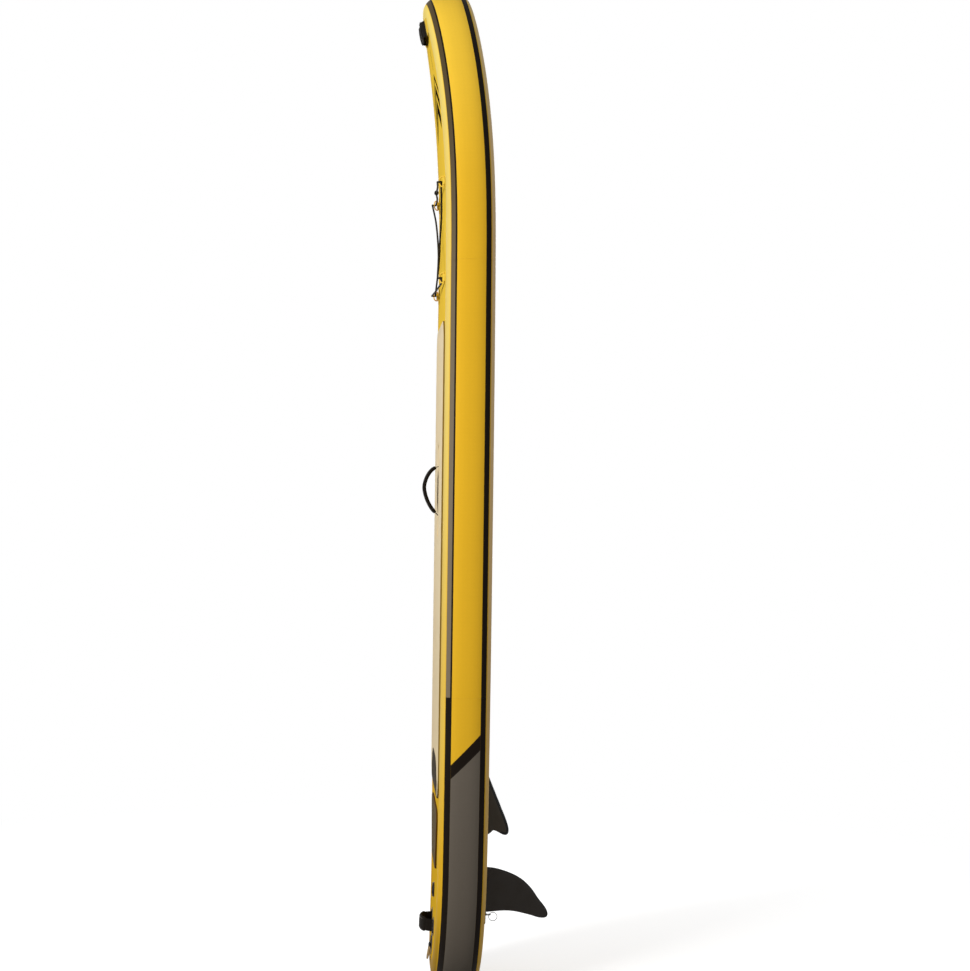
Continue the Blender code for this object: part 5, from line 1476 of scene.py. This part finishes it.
def build_tail_handle():
    """The arched handle near the tail, across the board."""
    made = across_frame(TAIL_HANDLE_S, seat_lift(TAIL_HANDLE_S, TAIL_PATCH_RADIUS))
    line = arch_line(TAIL_HALF_SPAN, TAIL_TOP - TAIL_GRIP_THICK / 2, 0.0, TAIL_ARCH_POWER,
                     TAIL_TAB, 12)
    build_handle("tail_handle", line, made, TAIL_WEB_WIDTH, slice(4, -4), TAIL_GRIP_WIDTH,
                 TAIL_GRIP_THICK)
    for name, side in (("left", -1), ("right", 1)):
        patch("tail_handle_patch_" + name, side * (TAIL_HALF_SPAN + 14 * MM), TAIL_HANDLE_S,
              TAIL_PATCH_RADIUS)


# Rings and their tabs


def ring_line(width, depth):
    """A D-shaped ring's line: the bar on the X axis, the bow towards Y."""
    half = width / 2
    corner = 1.8 * MM
    turn = np.linspace(0, math.pi, 9)
    bow = np.column_stack([half * bent(np.cos(turn), 0.9),
                           depth * (0.32 + 0.68 * np.sin(turn) ** 0.9)])
    bar = [(-half + corner, 0.0), (-half / 3, 0.0), (half / 3, 0.0), (half - corner, 0.0),
           (half, corner)]
    flat = np.concatenate([bar, bow, [(-half, corner)]])
    return np.column_stack([flat, np.zeros(len(flat))])


def round_section(diameter, count=16):
    """A round wire's section."""
    return oval(diameter / 2, diameter / 2, 2, count)


def ring_surface(width, depth, wire, made):
    """A bent and welded wire ring."""
    path = even(smooth(ring_line(width, depth), 8, closed=True), 1.2 * MM, closed=True)
    return sweep(in_world(made, path), made[:3, 2], round_section(wire), closed=True)


def tab_surface(wire, wall, width, tab, made):
    """A doubled strip round a ring's bar: along the patch, round the bar, and back over."""
    radius = wire / 2 + BAR_CLEARANCE + wall / 2
    middle = WEB_FLOOR + wire / 2 + BAR_CLEARANCE + wall
    turn = np.radians(np.linspace(-90, 90, 9))
    loop = np.column_stack([radius * np.cos(turn), middle + radius * np.sin(turn)])
    outer = radius + wall / 2
    line = np.concatenate([
        [(-tab, WEB_FLOOR + wall / 2), (-tab / 2, WEB_FLOOR + wall / 2)], loop,
        [(-1.3 * outer, middle + 0.55 * radius), (-2.6 * outer, WEB_FLOOR + 1.7 * wall),
         (-0.8 * tab, WEB_FLOOR + 1.5 * wall), (-tab, WEB_FLOOR + 1.5 * wall)],
    ])
    path, up = strap_path(line, made, 0.9 * MM)
    strip = sweep(path, up, stadium(width, wall * 0.96, flats=7))
    # A stitched box with a cross in it
    reach = width / 2 - 3 * MM
    low = -tab + 2.5 * MM
    high = -2.9 * outer
    left_low, left_high, right_low, right_high = (
        (side * reach, end, WEB_FLOOR + 2 * wall) for side in (-1, 1) for end in (low, high))
    rows = []
    for ends in ((left_low, right_low), (left_high, right_high), (left_low, left_high),
                 (right_low, right_high), (left_low, right_high), (left_high, right_low)):
        path = even(in_world(made, ends), 2 * MM)
        rows.append(stitches(path, made[:3, 2], 0.0, 0.0, 2.6 * MM, 1.9 * MM, 0.32 * MM))
    return strip, joined(*rows)


def build_leash_ring():
    """The patch, webbing tab and hinged ring for the leash, its bow towards the tail."""
    lift = seat_lift(LEASH_PATCH_S, LEASH_PATCH_RADIUS)
    patch("leash_patch", 0, LEASH_PATCH_S, LEASH_PATCH_RADIUS)
    made = turned_frame(hull_frame(0, LEASH_BAR_S, -1, lift), math.pi, "Z")
    strip, sewing = tab_surface(LEASH_WIRE, LEASH_WEB_THICK, LEASH_WEB_WIDTH, LEASH_TAB, made)
    piece("leash_tab", strip, "webbing", ["leash_webbing"])
    piece("leash_tab_stitching", sewing, "thread")
    bar = WEB_FLOOR + LEASH_WIRE / 2 + BAR_CLEARANCE + LEASH_WEB_THICK
    seat = turned_frame(shifted(made, z=bar), LEASH_TILT, "X")
    piece("leash_ring_wire", ring_surface(LEASH_WIDTH, LEASH_DEPTH, LEASH_WIRE, seat),
          "leash_steel", ["leash_d_ring"], body="leash_ring")


def build_cargo_anchors():
    """Four anchors of the cargo cord, each a patch, a doubled tab and a ring."""
    for name, (x, s) in ANCHORS.items():
        side = math.copysign(1, x)
        step = HALF - SKIN_OUT
        bar_x = x + side * RING_DEPTH * math.cos(RING_TILT)
        patch("anchor_patch_" + name, bar_x + side * 2 * MM, s, ANCHOR_PATCH_RADIUS, step,
              "pale_patch")
        lift = seat_lift(s, ANCHOR_PATCH_RADIUS)
        made = turned_frame(hull_frame(bar_x, s, -1, lift), side * math.pi / 2, "Z")
        made = shifted(made, z=step)
        strip, sewing = tab_surface(RING_WIRE, RING_WEB_THICK, RING_WEB_WIDTH, RING_TAB, made)
        piece("anchor_tab_" + name, strip, "yellow_webbing",
              ["anchor_webbing_" + name])
        piece("anchor_stitching_" + name, sewing, "thread")
        bar = WEB_FLOOR + RING_WIRE / 2 + BAR_CLEARANCE + RING_WEB_THICK
        seat = turned_frame(shifted(made, z=bar), RING_TILT, "X")
        piece("anchor_wire_" + name, ring_surface(RING_WIDTH, RING_DEPTH, RING_WIRE, seat),
              "coated_ring", ["anchor_ring_" + name])


# Cargo cord


def cord_turn(name, enter_over, enter_s, leave_s):
    """The five route points round a ring's bow, over it first or under it first."""
    x, s = ANCHORS[name]
    side = math.copysign(1, x)
    bow = RING_BOW_HEIGHT
    rise = RING_TURN if enter_over else -RING_TURN
    lead = 16 * MM
    return [
        (x - side * lead, s + enter_s * lead, bow + 0.92 * rise),
        (x, s, bow + rise),
        (x + side * RING_TURN * MM, s, bow),
        (x, s, bow - rise),
        (x - side * lead, s + leave_s * lead, bow - 0.92 * rise),
    ]


def cord_route():
    """From the knot round the four rings and back: x, s, and height in millimetres."""
    half = KNOT_LENGTH / 2 + GAP
    knot = KNOT_HEIGHT / MM
    (front_x, front_s), (rear_x, rear_s) = ANCHORS["front_right"], ANCHORS["rear_right"]
    slant = (front_s - rear_s) / (front_x + rear_x)
    return np.array([
        (half, KNOT_S, knot), (0.030, KNOT_S, knot), (0.130, 2.5575, 21.0),
        *cord_turn("front_right", True, 0.0, -slant),
        (0.110, 2.4732, 9.0), (0.0, 2.4065, 9.6), (-0.120, 2.3375, 8.6),
        *cord_turn("rear_left", False, slant, 0.0),
        (-0.130, 2.2486, 18.6), (0.0, 2.2480, 13.6), (0.130, 2.2486, 9.4),
        *cord_turn("rear_right", False, 0.0, slant),
        (0.130, 2.3330, 18.8), (0.0, 2.4075, 17.4), (-0.120, 2.4812, 19.0),
        *cord_turn("front_left", True, -slant, 0.0),
        (-0.130, 2.5575, 13.0), (-0.050, KNOT_S, 18.0), (-0.030, KNOT_S, knot),
        (-half, KNOT_S, knot),
    ])


def build_cargo_cord(make):
    """The elastic cord on its route, and the barrel knot that closes it."""
    x, s, height = cord_route().T
    path = even(smooth(place(x, -(SKIN_OUT + height * MM), s), 10), 1.6 * MM)
    run = np.linspace(0, length_of(path), len(path))
    turn = full_turn(16)
    phase = run[:, None] / (make.diameter * BRAID_PITCH) * 2 * math.pi
    braid = 1 + BRAID_RELIEF * np.sin(phase + 4 * turn) * np.sin(phase - 4 * turn)
    section = round_section(make.diameter) * braid[..., None]
    piece("cargo_cord", sweep(path, (0.0, 0.0, 1.0), section), "cord",
          ["bungee_cord"])
    # Wraps round the two ends, and the ends' cut tips
    made = hull_frame(0, KNOT_S, -1, KNOT_HEIGHT)
    wraps = np.linspace(0, KNOT_WRAPS * 2 * math.pi, 170)
    climb = np.linspace(-KNOT_WRAPS_HALF, KNOT_WRAPS_HALF, len(wraps))
    wind = coil_line(wraps, KNOT_RADIUS, climb)[:, [2, 0, 1]]
    coil = sweep(in_world(made, wind), made[:3, 0], round_section(KNOT_WRAP_WIRE, 12))
    core = np.array([(-9.4, 0, 0), (-4, 0.6, 0), (4, -0.6, 0), (9.4, 0, 0)]) * MM
    core = even(smooth(in_world(made, core), 6), 1 * MM)
    tips = sweep(core, made[:3, 2], round_section(KNOT_CORE_WIRE, 12))
    piece("cord_knot", joined(coil, tips), "cord", ["bungee_knot"])


# Valve


def build_valve():
    """The valve's body and cap as fine turned pieces, and the finish of its inner parts."""
    made = hull_frame(0, VALVE_S, -1)
    web_under = -WEB_DEPTH - WEB_WALL
    profile = [
        (FLANGE_RADIUS - 1.2 * MM, FLANGE_TOP), (FLANGE_RADIUS - 0.4 * MM, FLANGE_TOP - 0.3 * MM),
        (FLANGE_RADIUS, FLANGE_TOP - 1.4 * MM), (FLANGE_RADIUS, GAP), (BARREL_RADIUS, GAP),
        (BARREL_RADIUS, -BARREL_DEPTH), (SEAT_RADIUS, -BARREL_DEPTH), (SEAT_RADIUS, web_under),
        (STEM_GUIDE_RADIUS, web_under), (STEM_GUIDE_RADIUS, -WEB_DEPTH),
        (BORE_RADIUS, -WEB_DEPTH), (BORE_RADIUS, BAYONET_LOW), (BAYONET_RADIUS, BAYONET_LOW),
        (BAYONET_RADIUS, BAYONET_HIGH), (BORE_RADIUS, BAYONET_HIGH), (BORE_RADIUS, FLANGE_TOP),
    ]
    body = grid(turning(profile, 96), close_rows=True, close_columns=True).moved(made)
    port = rounded_rectangle(*PORT_OUTLINE, 4)
    cutters = []
    for step in range(3):
        spot = shifted(turned_frame(made, math.radians(120 * step), "Z"), x=PORT_RADIUS)
        cutters.append(prism(port, web_under - WEB_WALL, -WEB_DEPTH + WEB_WALL, spot))
    entry = [(-ENTRY_HALF, 0), (ENTRY_HALF, 0), (ENTRY_HALF, BAYONET_RADIUS),
             (-ENTRY_HALF, BAYONET_RADIUS)]
    for step in range(2):
        spot = turned_frame(made, math.pi * step, "Z")
        cutters.append(prism(entry, BAYONET_HIGH - 1 * MM, FLANGE_TOP + 1 * MM, spot))
    piece("valve_housing", cut(body, cutters, "valve_housing"), "plastic",
          ["valve_body"])
    build_valve_cap(made)
    build_valve_spring(made)
    for node in ("valve_backing_nut", "valve_stem"):
        dress_node(node, "plastic")
    for node in ("valve_gasket", "valve_cap_seal"):
        dress_node(node, "seal")


def build_valve_spring(made):
    """The stem's spring, a coil with closed ends."""
    low = -WEB_DEPTH + GAP
    high = STEM_HEAD - GAP
    turn = np.linspace(0, SPRING_TURNS * 2 * math.pi, SPRING_TURNS * 40)
    climb = np.clip((turn - 0.5 * math.pi) / (turn[-1] - math.pi), 0, 1)
    height = low + SPRING_WIRE / 2 + climb * (high - low - SPRING_WIRE)
    coil = in_world(made, coil_line(turn, SPRING_RADIUS, height))
    coil = sweep(coil, made[:3, 2], round_section(SPRING_WIRE, 12))
    spring = piece("valve_coil", coil, "steel", ["valve_spring"])
    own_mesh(spring)


def build_valve_cap(made):
    """The cap: a dished disc with a knurled rim, a finger ridge, its plug and two lugs."""
    under = FLANGE_TOP + 0.35 * MM
    dish = CAP_TOP - CAP_DISH
    groove_depth, groove_low, groove_high = SEAL_GROOVE
    groove = PLUG_RADIUS - groove_depth

    def knurls(profile, turn):
        """A factor on the rim's radius: 1 less a cosine of the turn from 0 to the depth."""
        at_rim = (profile[:, :1] > CAP_RADIUS - 0.7 * MM).astype(float)
        return 1 - at_rim * CAP_KNURL_DEPTH * (0.5 + 0.5 * np.cos(CAP_KNURLS * turn))

    profile = [
        (0.0, dish), (10 * MM, dish), (CAP_RADIUS - 3.2 * MM, dish),
        (CAP_RADIUS - 2.4 * MM, dish + 0.5 * MM), (CAP_RADIUS - 1.9 * MM, CAP_TOP),
        (CAP_RADIUS - 0.9 * MM, CAP_TOP), (CAP_RADIUS - 0.25 * MM, CAP_TOP - 0.25 * MM),
        (CAP_RADIUS, CAP_TOP - 0.9 * MM), (CAP_RADIUS, under), (PLUG_RADIUS, under),
        (PLUG_RADIUS, groove_high), (groove, groove_high), (groove, groove_low),
        (PLUG_RADIUS, groove_low), (PLUG_RADIUS, PLUG_LOW), (PLUG_BORE, PLUG_LOW),
        (PLUG_BORE, PLUG_CEILING), (0.0, PLUG_CEILING),
    ]
    disc = grid(turning(profile, 200, knurls), close_columns=True)
    along = np.linspace(-1, 1, 41)
    path = np.column_stack([0 * along, CAP_RIDGE_HALF * along,
                            np.full(len(along), dish + 0.6 * MM)])
    full = (1 - along ** 6) ** 0.5 + 0.02
    half_u, half_v = CAP_RIDGE_SECTION
    ridge = sweep(path, (0.0, 0.0, 1.0), oval(half_u * full, half_v * full, 2.6, 20))
    inner = PLUG_RADIUS - 2 * MM
    outer = BAYONET_RADIUS - 0.5 * MM
    outline = [(inner, -2.6 * MM), (outer, -2.2 * MM), (outer, 2.2 * MM), (inner, 2.6 * MM)]
    lugs = [prism(outline, *LUG_HEIGHTS, turned_frame(np.eye(4), angle, "Z"))
            for angle in (0, math.pi)]
    piece("valve_lid", joined(disc, ridge, *lugs).moved(made), "plastic",
          ["valve_cap"], body="cap", sharp=32)


# Fins


def foil_surface(rows, half_thick, s_middle, tip_share, root_flare=0.0):
    """A fin: sections with a round leading edge and a thin trailing edge, along its outline.

    The outline is a Catmull-Rom curve through the rows. Half thickness is a fraction of
    half_thick that falls to tip_share at the tip, at most FOIL_LIMIT of the chord.
    """
    height, lead, trail = smooth(rows, 8).T
    share = (height - height[0]) / (height[-1] - height[0])
    chord = lead - trail
    half = half_thick * (1 - (1 - tip_share) * share ** 1.3)
    half = np.minimum(half, FOIL_LIMIT * chord)
    half = half * (1 + root_flare * np.exp(-(height - height[0]) / FLARE_REACH))
    along = 0.5 - 0.5 * np.cos(np.linspace(0, math.pi, 25))
    thick = np.interp(np.sqrt(along), np.sqrt(FOIL_SHARES), FOIL_THICKNESS)
    thick[1:-1] = np.convolve(thick, [0.25, 0.5, 0.25], "same")[1:-1]
    around = np.concatenate([along, along[:0:-1]])
    side = np.concatenate([thick, -thick[:0:-1]])
    x = half[:, None] * side
    y = lead[:, None] - chord[:, None] * around - s_middle
    z = np.repeat(height[:, None], len(around), 1)
    # Distance to the leading edge and the tip's outline, in millimetres
    over = share > TIP_FROM
    outline = np.column_stack([np.concatenate([lead, trail[over]]),
                               np.concatenate([height, height[over]])])
    edge = np.hypot(y[..., None] + s_middle - outline[:, 0], z[..., None] - outline[:, 1])
    edge = edge.min(-1) / MM
    return grid(np.stack([x, y, z], -1), close_columns=True, caps=True, values={"edge": edge})


def build_centre_fin():
    """The blade with its foot in the box, the lock clip's finish and its split ring."""
    middle = sum(BOX_S) / 2
    made = hull_frame(0, middle, 1)
    blade = foil_surface(CENTRE_FIN_ROWS, FIN_HALF_THICK, middle, 0.35)
    low = BOX_FLOOR + GAP
    high = BOX_FLOOR + CHANNEL_HEIGHT - GAP
    half = np.array([(FOOT_HALF, low), (FOOT_HALF, high), (NECK_HALF, high),
                     (NECK_HALF, BOX_TOP - 0.5 * MM),
                     (0.6 * NECK_HALF, CENTRE_FIN_ROWS[0][0] + 3 * MM)])
    outline = np.concatenate([half[:1] * (-1, 1), half, half[:0:-1] * (-1, 1)])
    stand = turned_frame(made, math.pi / 2, "X")
    foot = prism(outline, middle - FOOT_S[1], middle - FOOT_S[0], stand)
    foot.values = {"edge": np.full(len(foot.points), FOOT_EDGE)}
    piece("centre_fin_blade", joined(blade.moved(made), foot), "centre_fin",
          ["centre_fin"])
    dress_node("fin_box_patch", "black_patch")
    dress_node("fin_box", "plastic")
    dress_node("fin_lock_clip", "plastic")
    build_clip_ring(shifted(made, y=sum(CLIP_S) / 2 - middle))


def build_clip_ring(made):
    """A split ring through the clip's tab: two turns of wire side by side."""
    half = (CLIP_S[1] - CLIP_S[0]) / 2
    lean = np.array([-math.cos(CLIP_RING_ANGLE), math.sin(CLIP_RING_ANGLE)])
    across = np.array([lean[1], -lean[0]])
    tip = BOX_TOP + GAP + CLIP_LIP - TAB_INSET + TAB_REACH
    hole = np.array([-half + TAB_INSET + TAB_THICK / 2, tip - TAB_HOLE_DROP])
    turn = np.linspace(0.1, 4 * math.pi - 0.1, 220)
    spot = (hole + np.multiply.outer(1 - np.cos(turn), lean) * CLIP_RING_RADIUS
            + np.multiply.outer(np.sin(turn), across) * CLIP_RING_RADIUS)
    aside = CLIP_RING_ASIDE * np.tanh((turn - 2 * math.pi) * 4)
    path = in_world(made, np.column_stack([aside, spot]))
    piece("clip_split_ring", sweep(path, made[:3, 0], round_section(CLIP_RING_WIRE, 12)),
          "clip_steel", ["clip_ring"], body="pull_ring")


def build_side_fins():
    """Two small fixed fins, each moulded on a base plate that is glued on a patch."""
    middle = sum(SIDE_FIN_S) / 2
    half = (SIDE_FIN_S[1] - SIDE_FIN_S[0]) / 2
    # Inset and height of the base plate's outlines, from its foot to its rounded top edge
    levels = [(0.0, PATCH_TOP + GAP), (0.0, SIDE_BASE_TOP - 0.9 * MM),
              (0.35 * MM, SIDE_BASE_TOP - 0.3 * MM), (1.1 * MM, SIDE_BASE_TOP)]
    plate = stacked([(rounded_rectangle(SIDE_FIN_BASE_HALF - inset, half - inset,
                                        12 * MM - inset), height) for inset, height in levels])
    plate.values = {"edge": np.full(len(plate.points), PLATE_EDGE)}
    for name, side in (("left", -1), ("right", 1)):
        made = hull_frame(side * SIDE_FIN_X, middle, 1)
        cant = turned_frame(made, -side * SIDE_FIN_CANT, "Y")
        blade = foil_surface(SIDE_FIN_ROWS, SIDE_FIN_HALF_THICK, middle, 0.45, root_flare=0.9)
        piece("side_fin_blade_" + name, joined(blade.moved(cant), plate.moved(made)), "side_fin",
              ["side_fin_" + name])
        dress_node("side_fin_patch_" + name, "black_patch")


# Stage


def build_stage(setup):
    """Floor, white room, lamps and the photograph's camera."""
    paint = Paint("pale_floor")
    seen = paint.camera_share()
    colour = paint.shade((setup.floor,) * 3, 0.01, paint.noise(1.2, 2.0))
    away = paint.node("ShaderNodeVectorMath", {"operation": "LENGTH"},
                      {0: paint.object_place()}, output="Value")
    plain = paint.node("ShaderNodeBsdfDiffuse", inputs={"Color": colour})
    dim = paint.node("ShaderNodeBsdfDiffuse", inputs={"Color": (setup.bounce,) * 3})
    glow = paint.node("ShaderNodeEmission", inputs={"Color": (1, 1, 1), "Strength": FLOOR_GLOW})
    lit = paint.node("ShaderNodeAddShader", inputs={0: plain, 1: glow})
    white = paint.node("ShaderNodeEmission", inputs={"Color": (1, 1, 1), "Strength": 1.0})
    faded = paint.node("ShaderNodeMixShader", inputs={0: away.rise(*FLOOR_FADE), 1: lit, 2: white})
    mixed = paint.node("ShaderNodeMixShader", inputs={0: seen, 1: dim, 2: faded})
    paint.node("ShaderNodeOutputMaterial", inputs={0: mixed})
    corners = np.linspace(-FLOOR_REACH, FLOOR_REACH, 7)
    x, y = np.meshgrid(corners, corners, indexing="ij")
    made = grid(np.stack([x, y, 0 * x], -1))
    mesh = bpy.data.meshes.new("floor")
    mesh.from_pydata(made.points, [], made.quads[:, ::-1].tolist())
    mesh.materials.append(paint.material)
    floor = added("floor", mesh)
    build_world(setup)
    build_lamps(setup)
    build_camera(setup)
    bpy.context.scene.view_settings.view_transform = "Standard"


def build_world(setup):
    """White to the camera and in reflections, and a soft even light on everything else."""
    paint = Paint("white_room", "worlds")
    strength = paint.camera_share() * (1 - setup.ambient) + setup.ambient
    background = paint.node("ShaderNodeBackground",
                            inputs={"Color": (1, 1, 1), "Strength": strength})
    paint.node("ShaderNodeOutputWorld", inputs={0: background})
    bpy.context.scene.world = paint.material


def area_lamp(name, spot, aim, size, power):
    """A soft rectangular lamp at a place, turned to an aim."""
    light = bpy.data.lights.new(name, "AREA")
    light.shape = "RECTANGLE"
    light.size, light.size_y = size
    light.energy = power
    back = np.array(spot, float) - aim
    back /= np.linalg.norm(back)
    right = np.cross((0, 0, 1), back)
    right /= np.linalg.norm(right)
    made = np.eye(4)
    made[:3] = np.column_stack([right, np.cross(back, right), back, spot])
    added(name, light).matrix_world = Matrix(made)


def build_lamps(setup):
    """A tall key lamp on the deck side, a weaker one on the bottom side, and one behind."""
    middle = (0, 0, 1.6)
    area_lamp("key_lamp", (3.7, -4.1, 3.0), middle, (2.4, 3.0), setup.key)
    area_lamp("fill_lamp", (4.6, 3.4, 1.9), middle, (2.4, 4.0), setup.fill)
    area_lamp("back_lamp", (-5.0, 0.6, 3.0), middle, (3.0, 4.0),
              setup.key * BACK_LAMP_SHARE)


def build_camera(setup):
    """The photograph's camera: level, seen from the rail and a little from the deck side."""
    data = bpy.data.cameras.new("camera")
    data.sensor_width = SENSOR
    data.lens = FOCAL_PIXELS * SENSOR / PICTURE_SIDE
    data.shift_x = (PICTURE_MIDDLE_X - AXIS_PIXEL_X) / PICTURE_SIDE
    back = np.array([math.cos(setup.turn), -math.sin(setup.turn), 0])
    made = np.eye(4)
    made[:3] = np.column_stack([(-back[1], back[0], 0), (0, 0, 1), back,
                                (0, -ORIGIN_Y, setup.height) + setup.distance * back])
    camera = added("camera", data)
    camera.matrix_world = Matrix(turned_frame(made, setup.roll, "Z"))
    bpy.context.scene.camera = camera


# Operators, panel and registration


class BOARD_OT_materials(bpy.types.Operator):
    """Make the board's materials"""

    bl_idname = "board.materials"
    bl_label = "Materials"

    def execute(self, context):
        make_materials(context.scene)
        return {"FINISHED"}


class BOARD_OT_rails(bpy.types.Operator):
    """Build the four rail bands with their printed stripes"""

    bl_idname = "board.rails"
    bl_label = "Rail bands"

    def execute(self, context):
        build_rails()
        return {"FINISHED"}


class BOARD_OT_skins(bpy.types.Operator):
    """Build the deck and bottom skins over the drop-stitch core"""

    bl_idname = "board.skins"
    bl_label = "Skins"

    def execute(self, context):
        build_skins()
        return {"FINISHED"}


class BOARD_OT_pads(bpy.types.Operator):
    """Build the grooved foam pads"""

    bl_idname = "board.pads"
    bl_label = "Foam pads"

    def execute(self, context):
        build_pads(context.scene.pad_grooves)
        return {"FINISHED"}


class BOARD_OT_handles(bpy.types.Operator):
    """Build the three padded webbing handles with their patches"""

    bl_idname = "board.handles"
    bl_label = "Handles"

    def execute(self, context):
        build_carry_handle()
        build_nose_handle()
        build_tail_handle()
        return {"FINISHED"}


class BOARD_OT_rings(bpy.types.Operator):
    """Build the leash ring and the cargo cord's four anchors"""

    bl_idname = "board.rings"
    bl_label = "Rings and tabs"

    def execute(self, context):
        build_leash_ring()
        build_cargo_anchors()
        return {"FINISHED"}


class BOARD_OT_cord(bpy.types.Operator):
    """Build the cargo cord and its knot"""

    bl_idname = "board.cord"
    bl_label = "Cargo cord"

    def execute(self, context):
        build_cargo_cord(context.scene.cord_make)
        return {"FINISHED"}


class BOARD_OT_valve(bpy.types.Operator):
    """Build the inflation valve"""

    bl_idname = "board.valve"
    bl_label = "Valve"

    def execute(self, context):
        build_valve()
        return {"FINISHED"}


class BOARD_OT_fins(bpy.types.Operator):
    """Build the centre fin with its lock, and the side fins"""

    bl_idname = "board.fins"
    bl_label = "Fins"

    def execute(self, context):
        build_centre_fin()
        build_side_fins()
        return {"FINISHED"}


class BOARD_OT_stage(bpy.types.Operator):
    """Set up the floor, the lamps and the camera"""

    bl_idname = "board.stage"
    bl_label = "Stage"

    def execute(self, context):
        build_stage(context.scene.stage_setup)
        return {"FINISHED"}


OPERATORS = (BOARD_OT_materials, BOARD_OT_rails, BOARD_OT_skins, BOARD_OT_pads,
             BOARD_OT_handles, BOARD_OT_rings, BOARD_OT_cord, BOARD_OT_valve, BOARD_OT_fins,
             BOARD_OT_stage)
GROUPS = {
    "board_colours": BoardColours,
    "stripe_layout": StripeLayout,
    "pad_grooves": PadGrooves,
    "cord_make": CordMake,
    "stage_setup": StageSetup,
}


class BOARD_PT_panel(bpy.types.Panel):
    """The board's steps and their settings"""

    bl_idname = "BOARD_PT_panel"
    bl_label = "Paddle Board"
    bl_space_type = "VIEW_3D"
    bl_region_type = "UI"
    bl_category = "Paddle Board"

    def draw(self, context):
        for operator in OPERATORS:
            self.layout.operator(operator.bl_idname)
        for name, group in GROUPS.items():
            box = self.layout.box()
            box.label(text=group.__doc__)
            for key in group.__annotations__:
                box.prop(getattr(context.scene, name), key)


def register():
    """Register the settings, operators and panel."""
    for group in GROUPS.values():
        bpy.utils.register_class(group)
    for name, group in GROUPS.items():
        setattr(bpy.types.Scene, name, PointerProperty(type=group))
    for item in (*OPERATORS, BOARD_PT_panel):
        bpy.utils.register_class(item)


def unregister():
    """Take the panel, operators and settings away again."""
    for item in (BOARD_PT_panel, *reversed(OPERATORS)):
        bpy.utils.unregister_class(item)
    for name, group in GROUPS.items():
        delattr(bpy.types.Scene, name)
        bpy.utils.unregister_class(group)


def main():
    """Build the whole board in order."""
    register()
    for operator in OPERATORS:
        getattr(bpy.ops.board, operator.bl_idname.removeprefix("board."))()


if __name__ == "__main__":
    main()
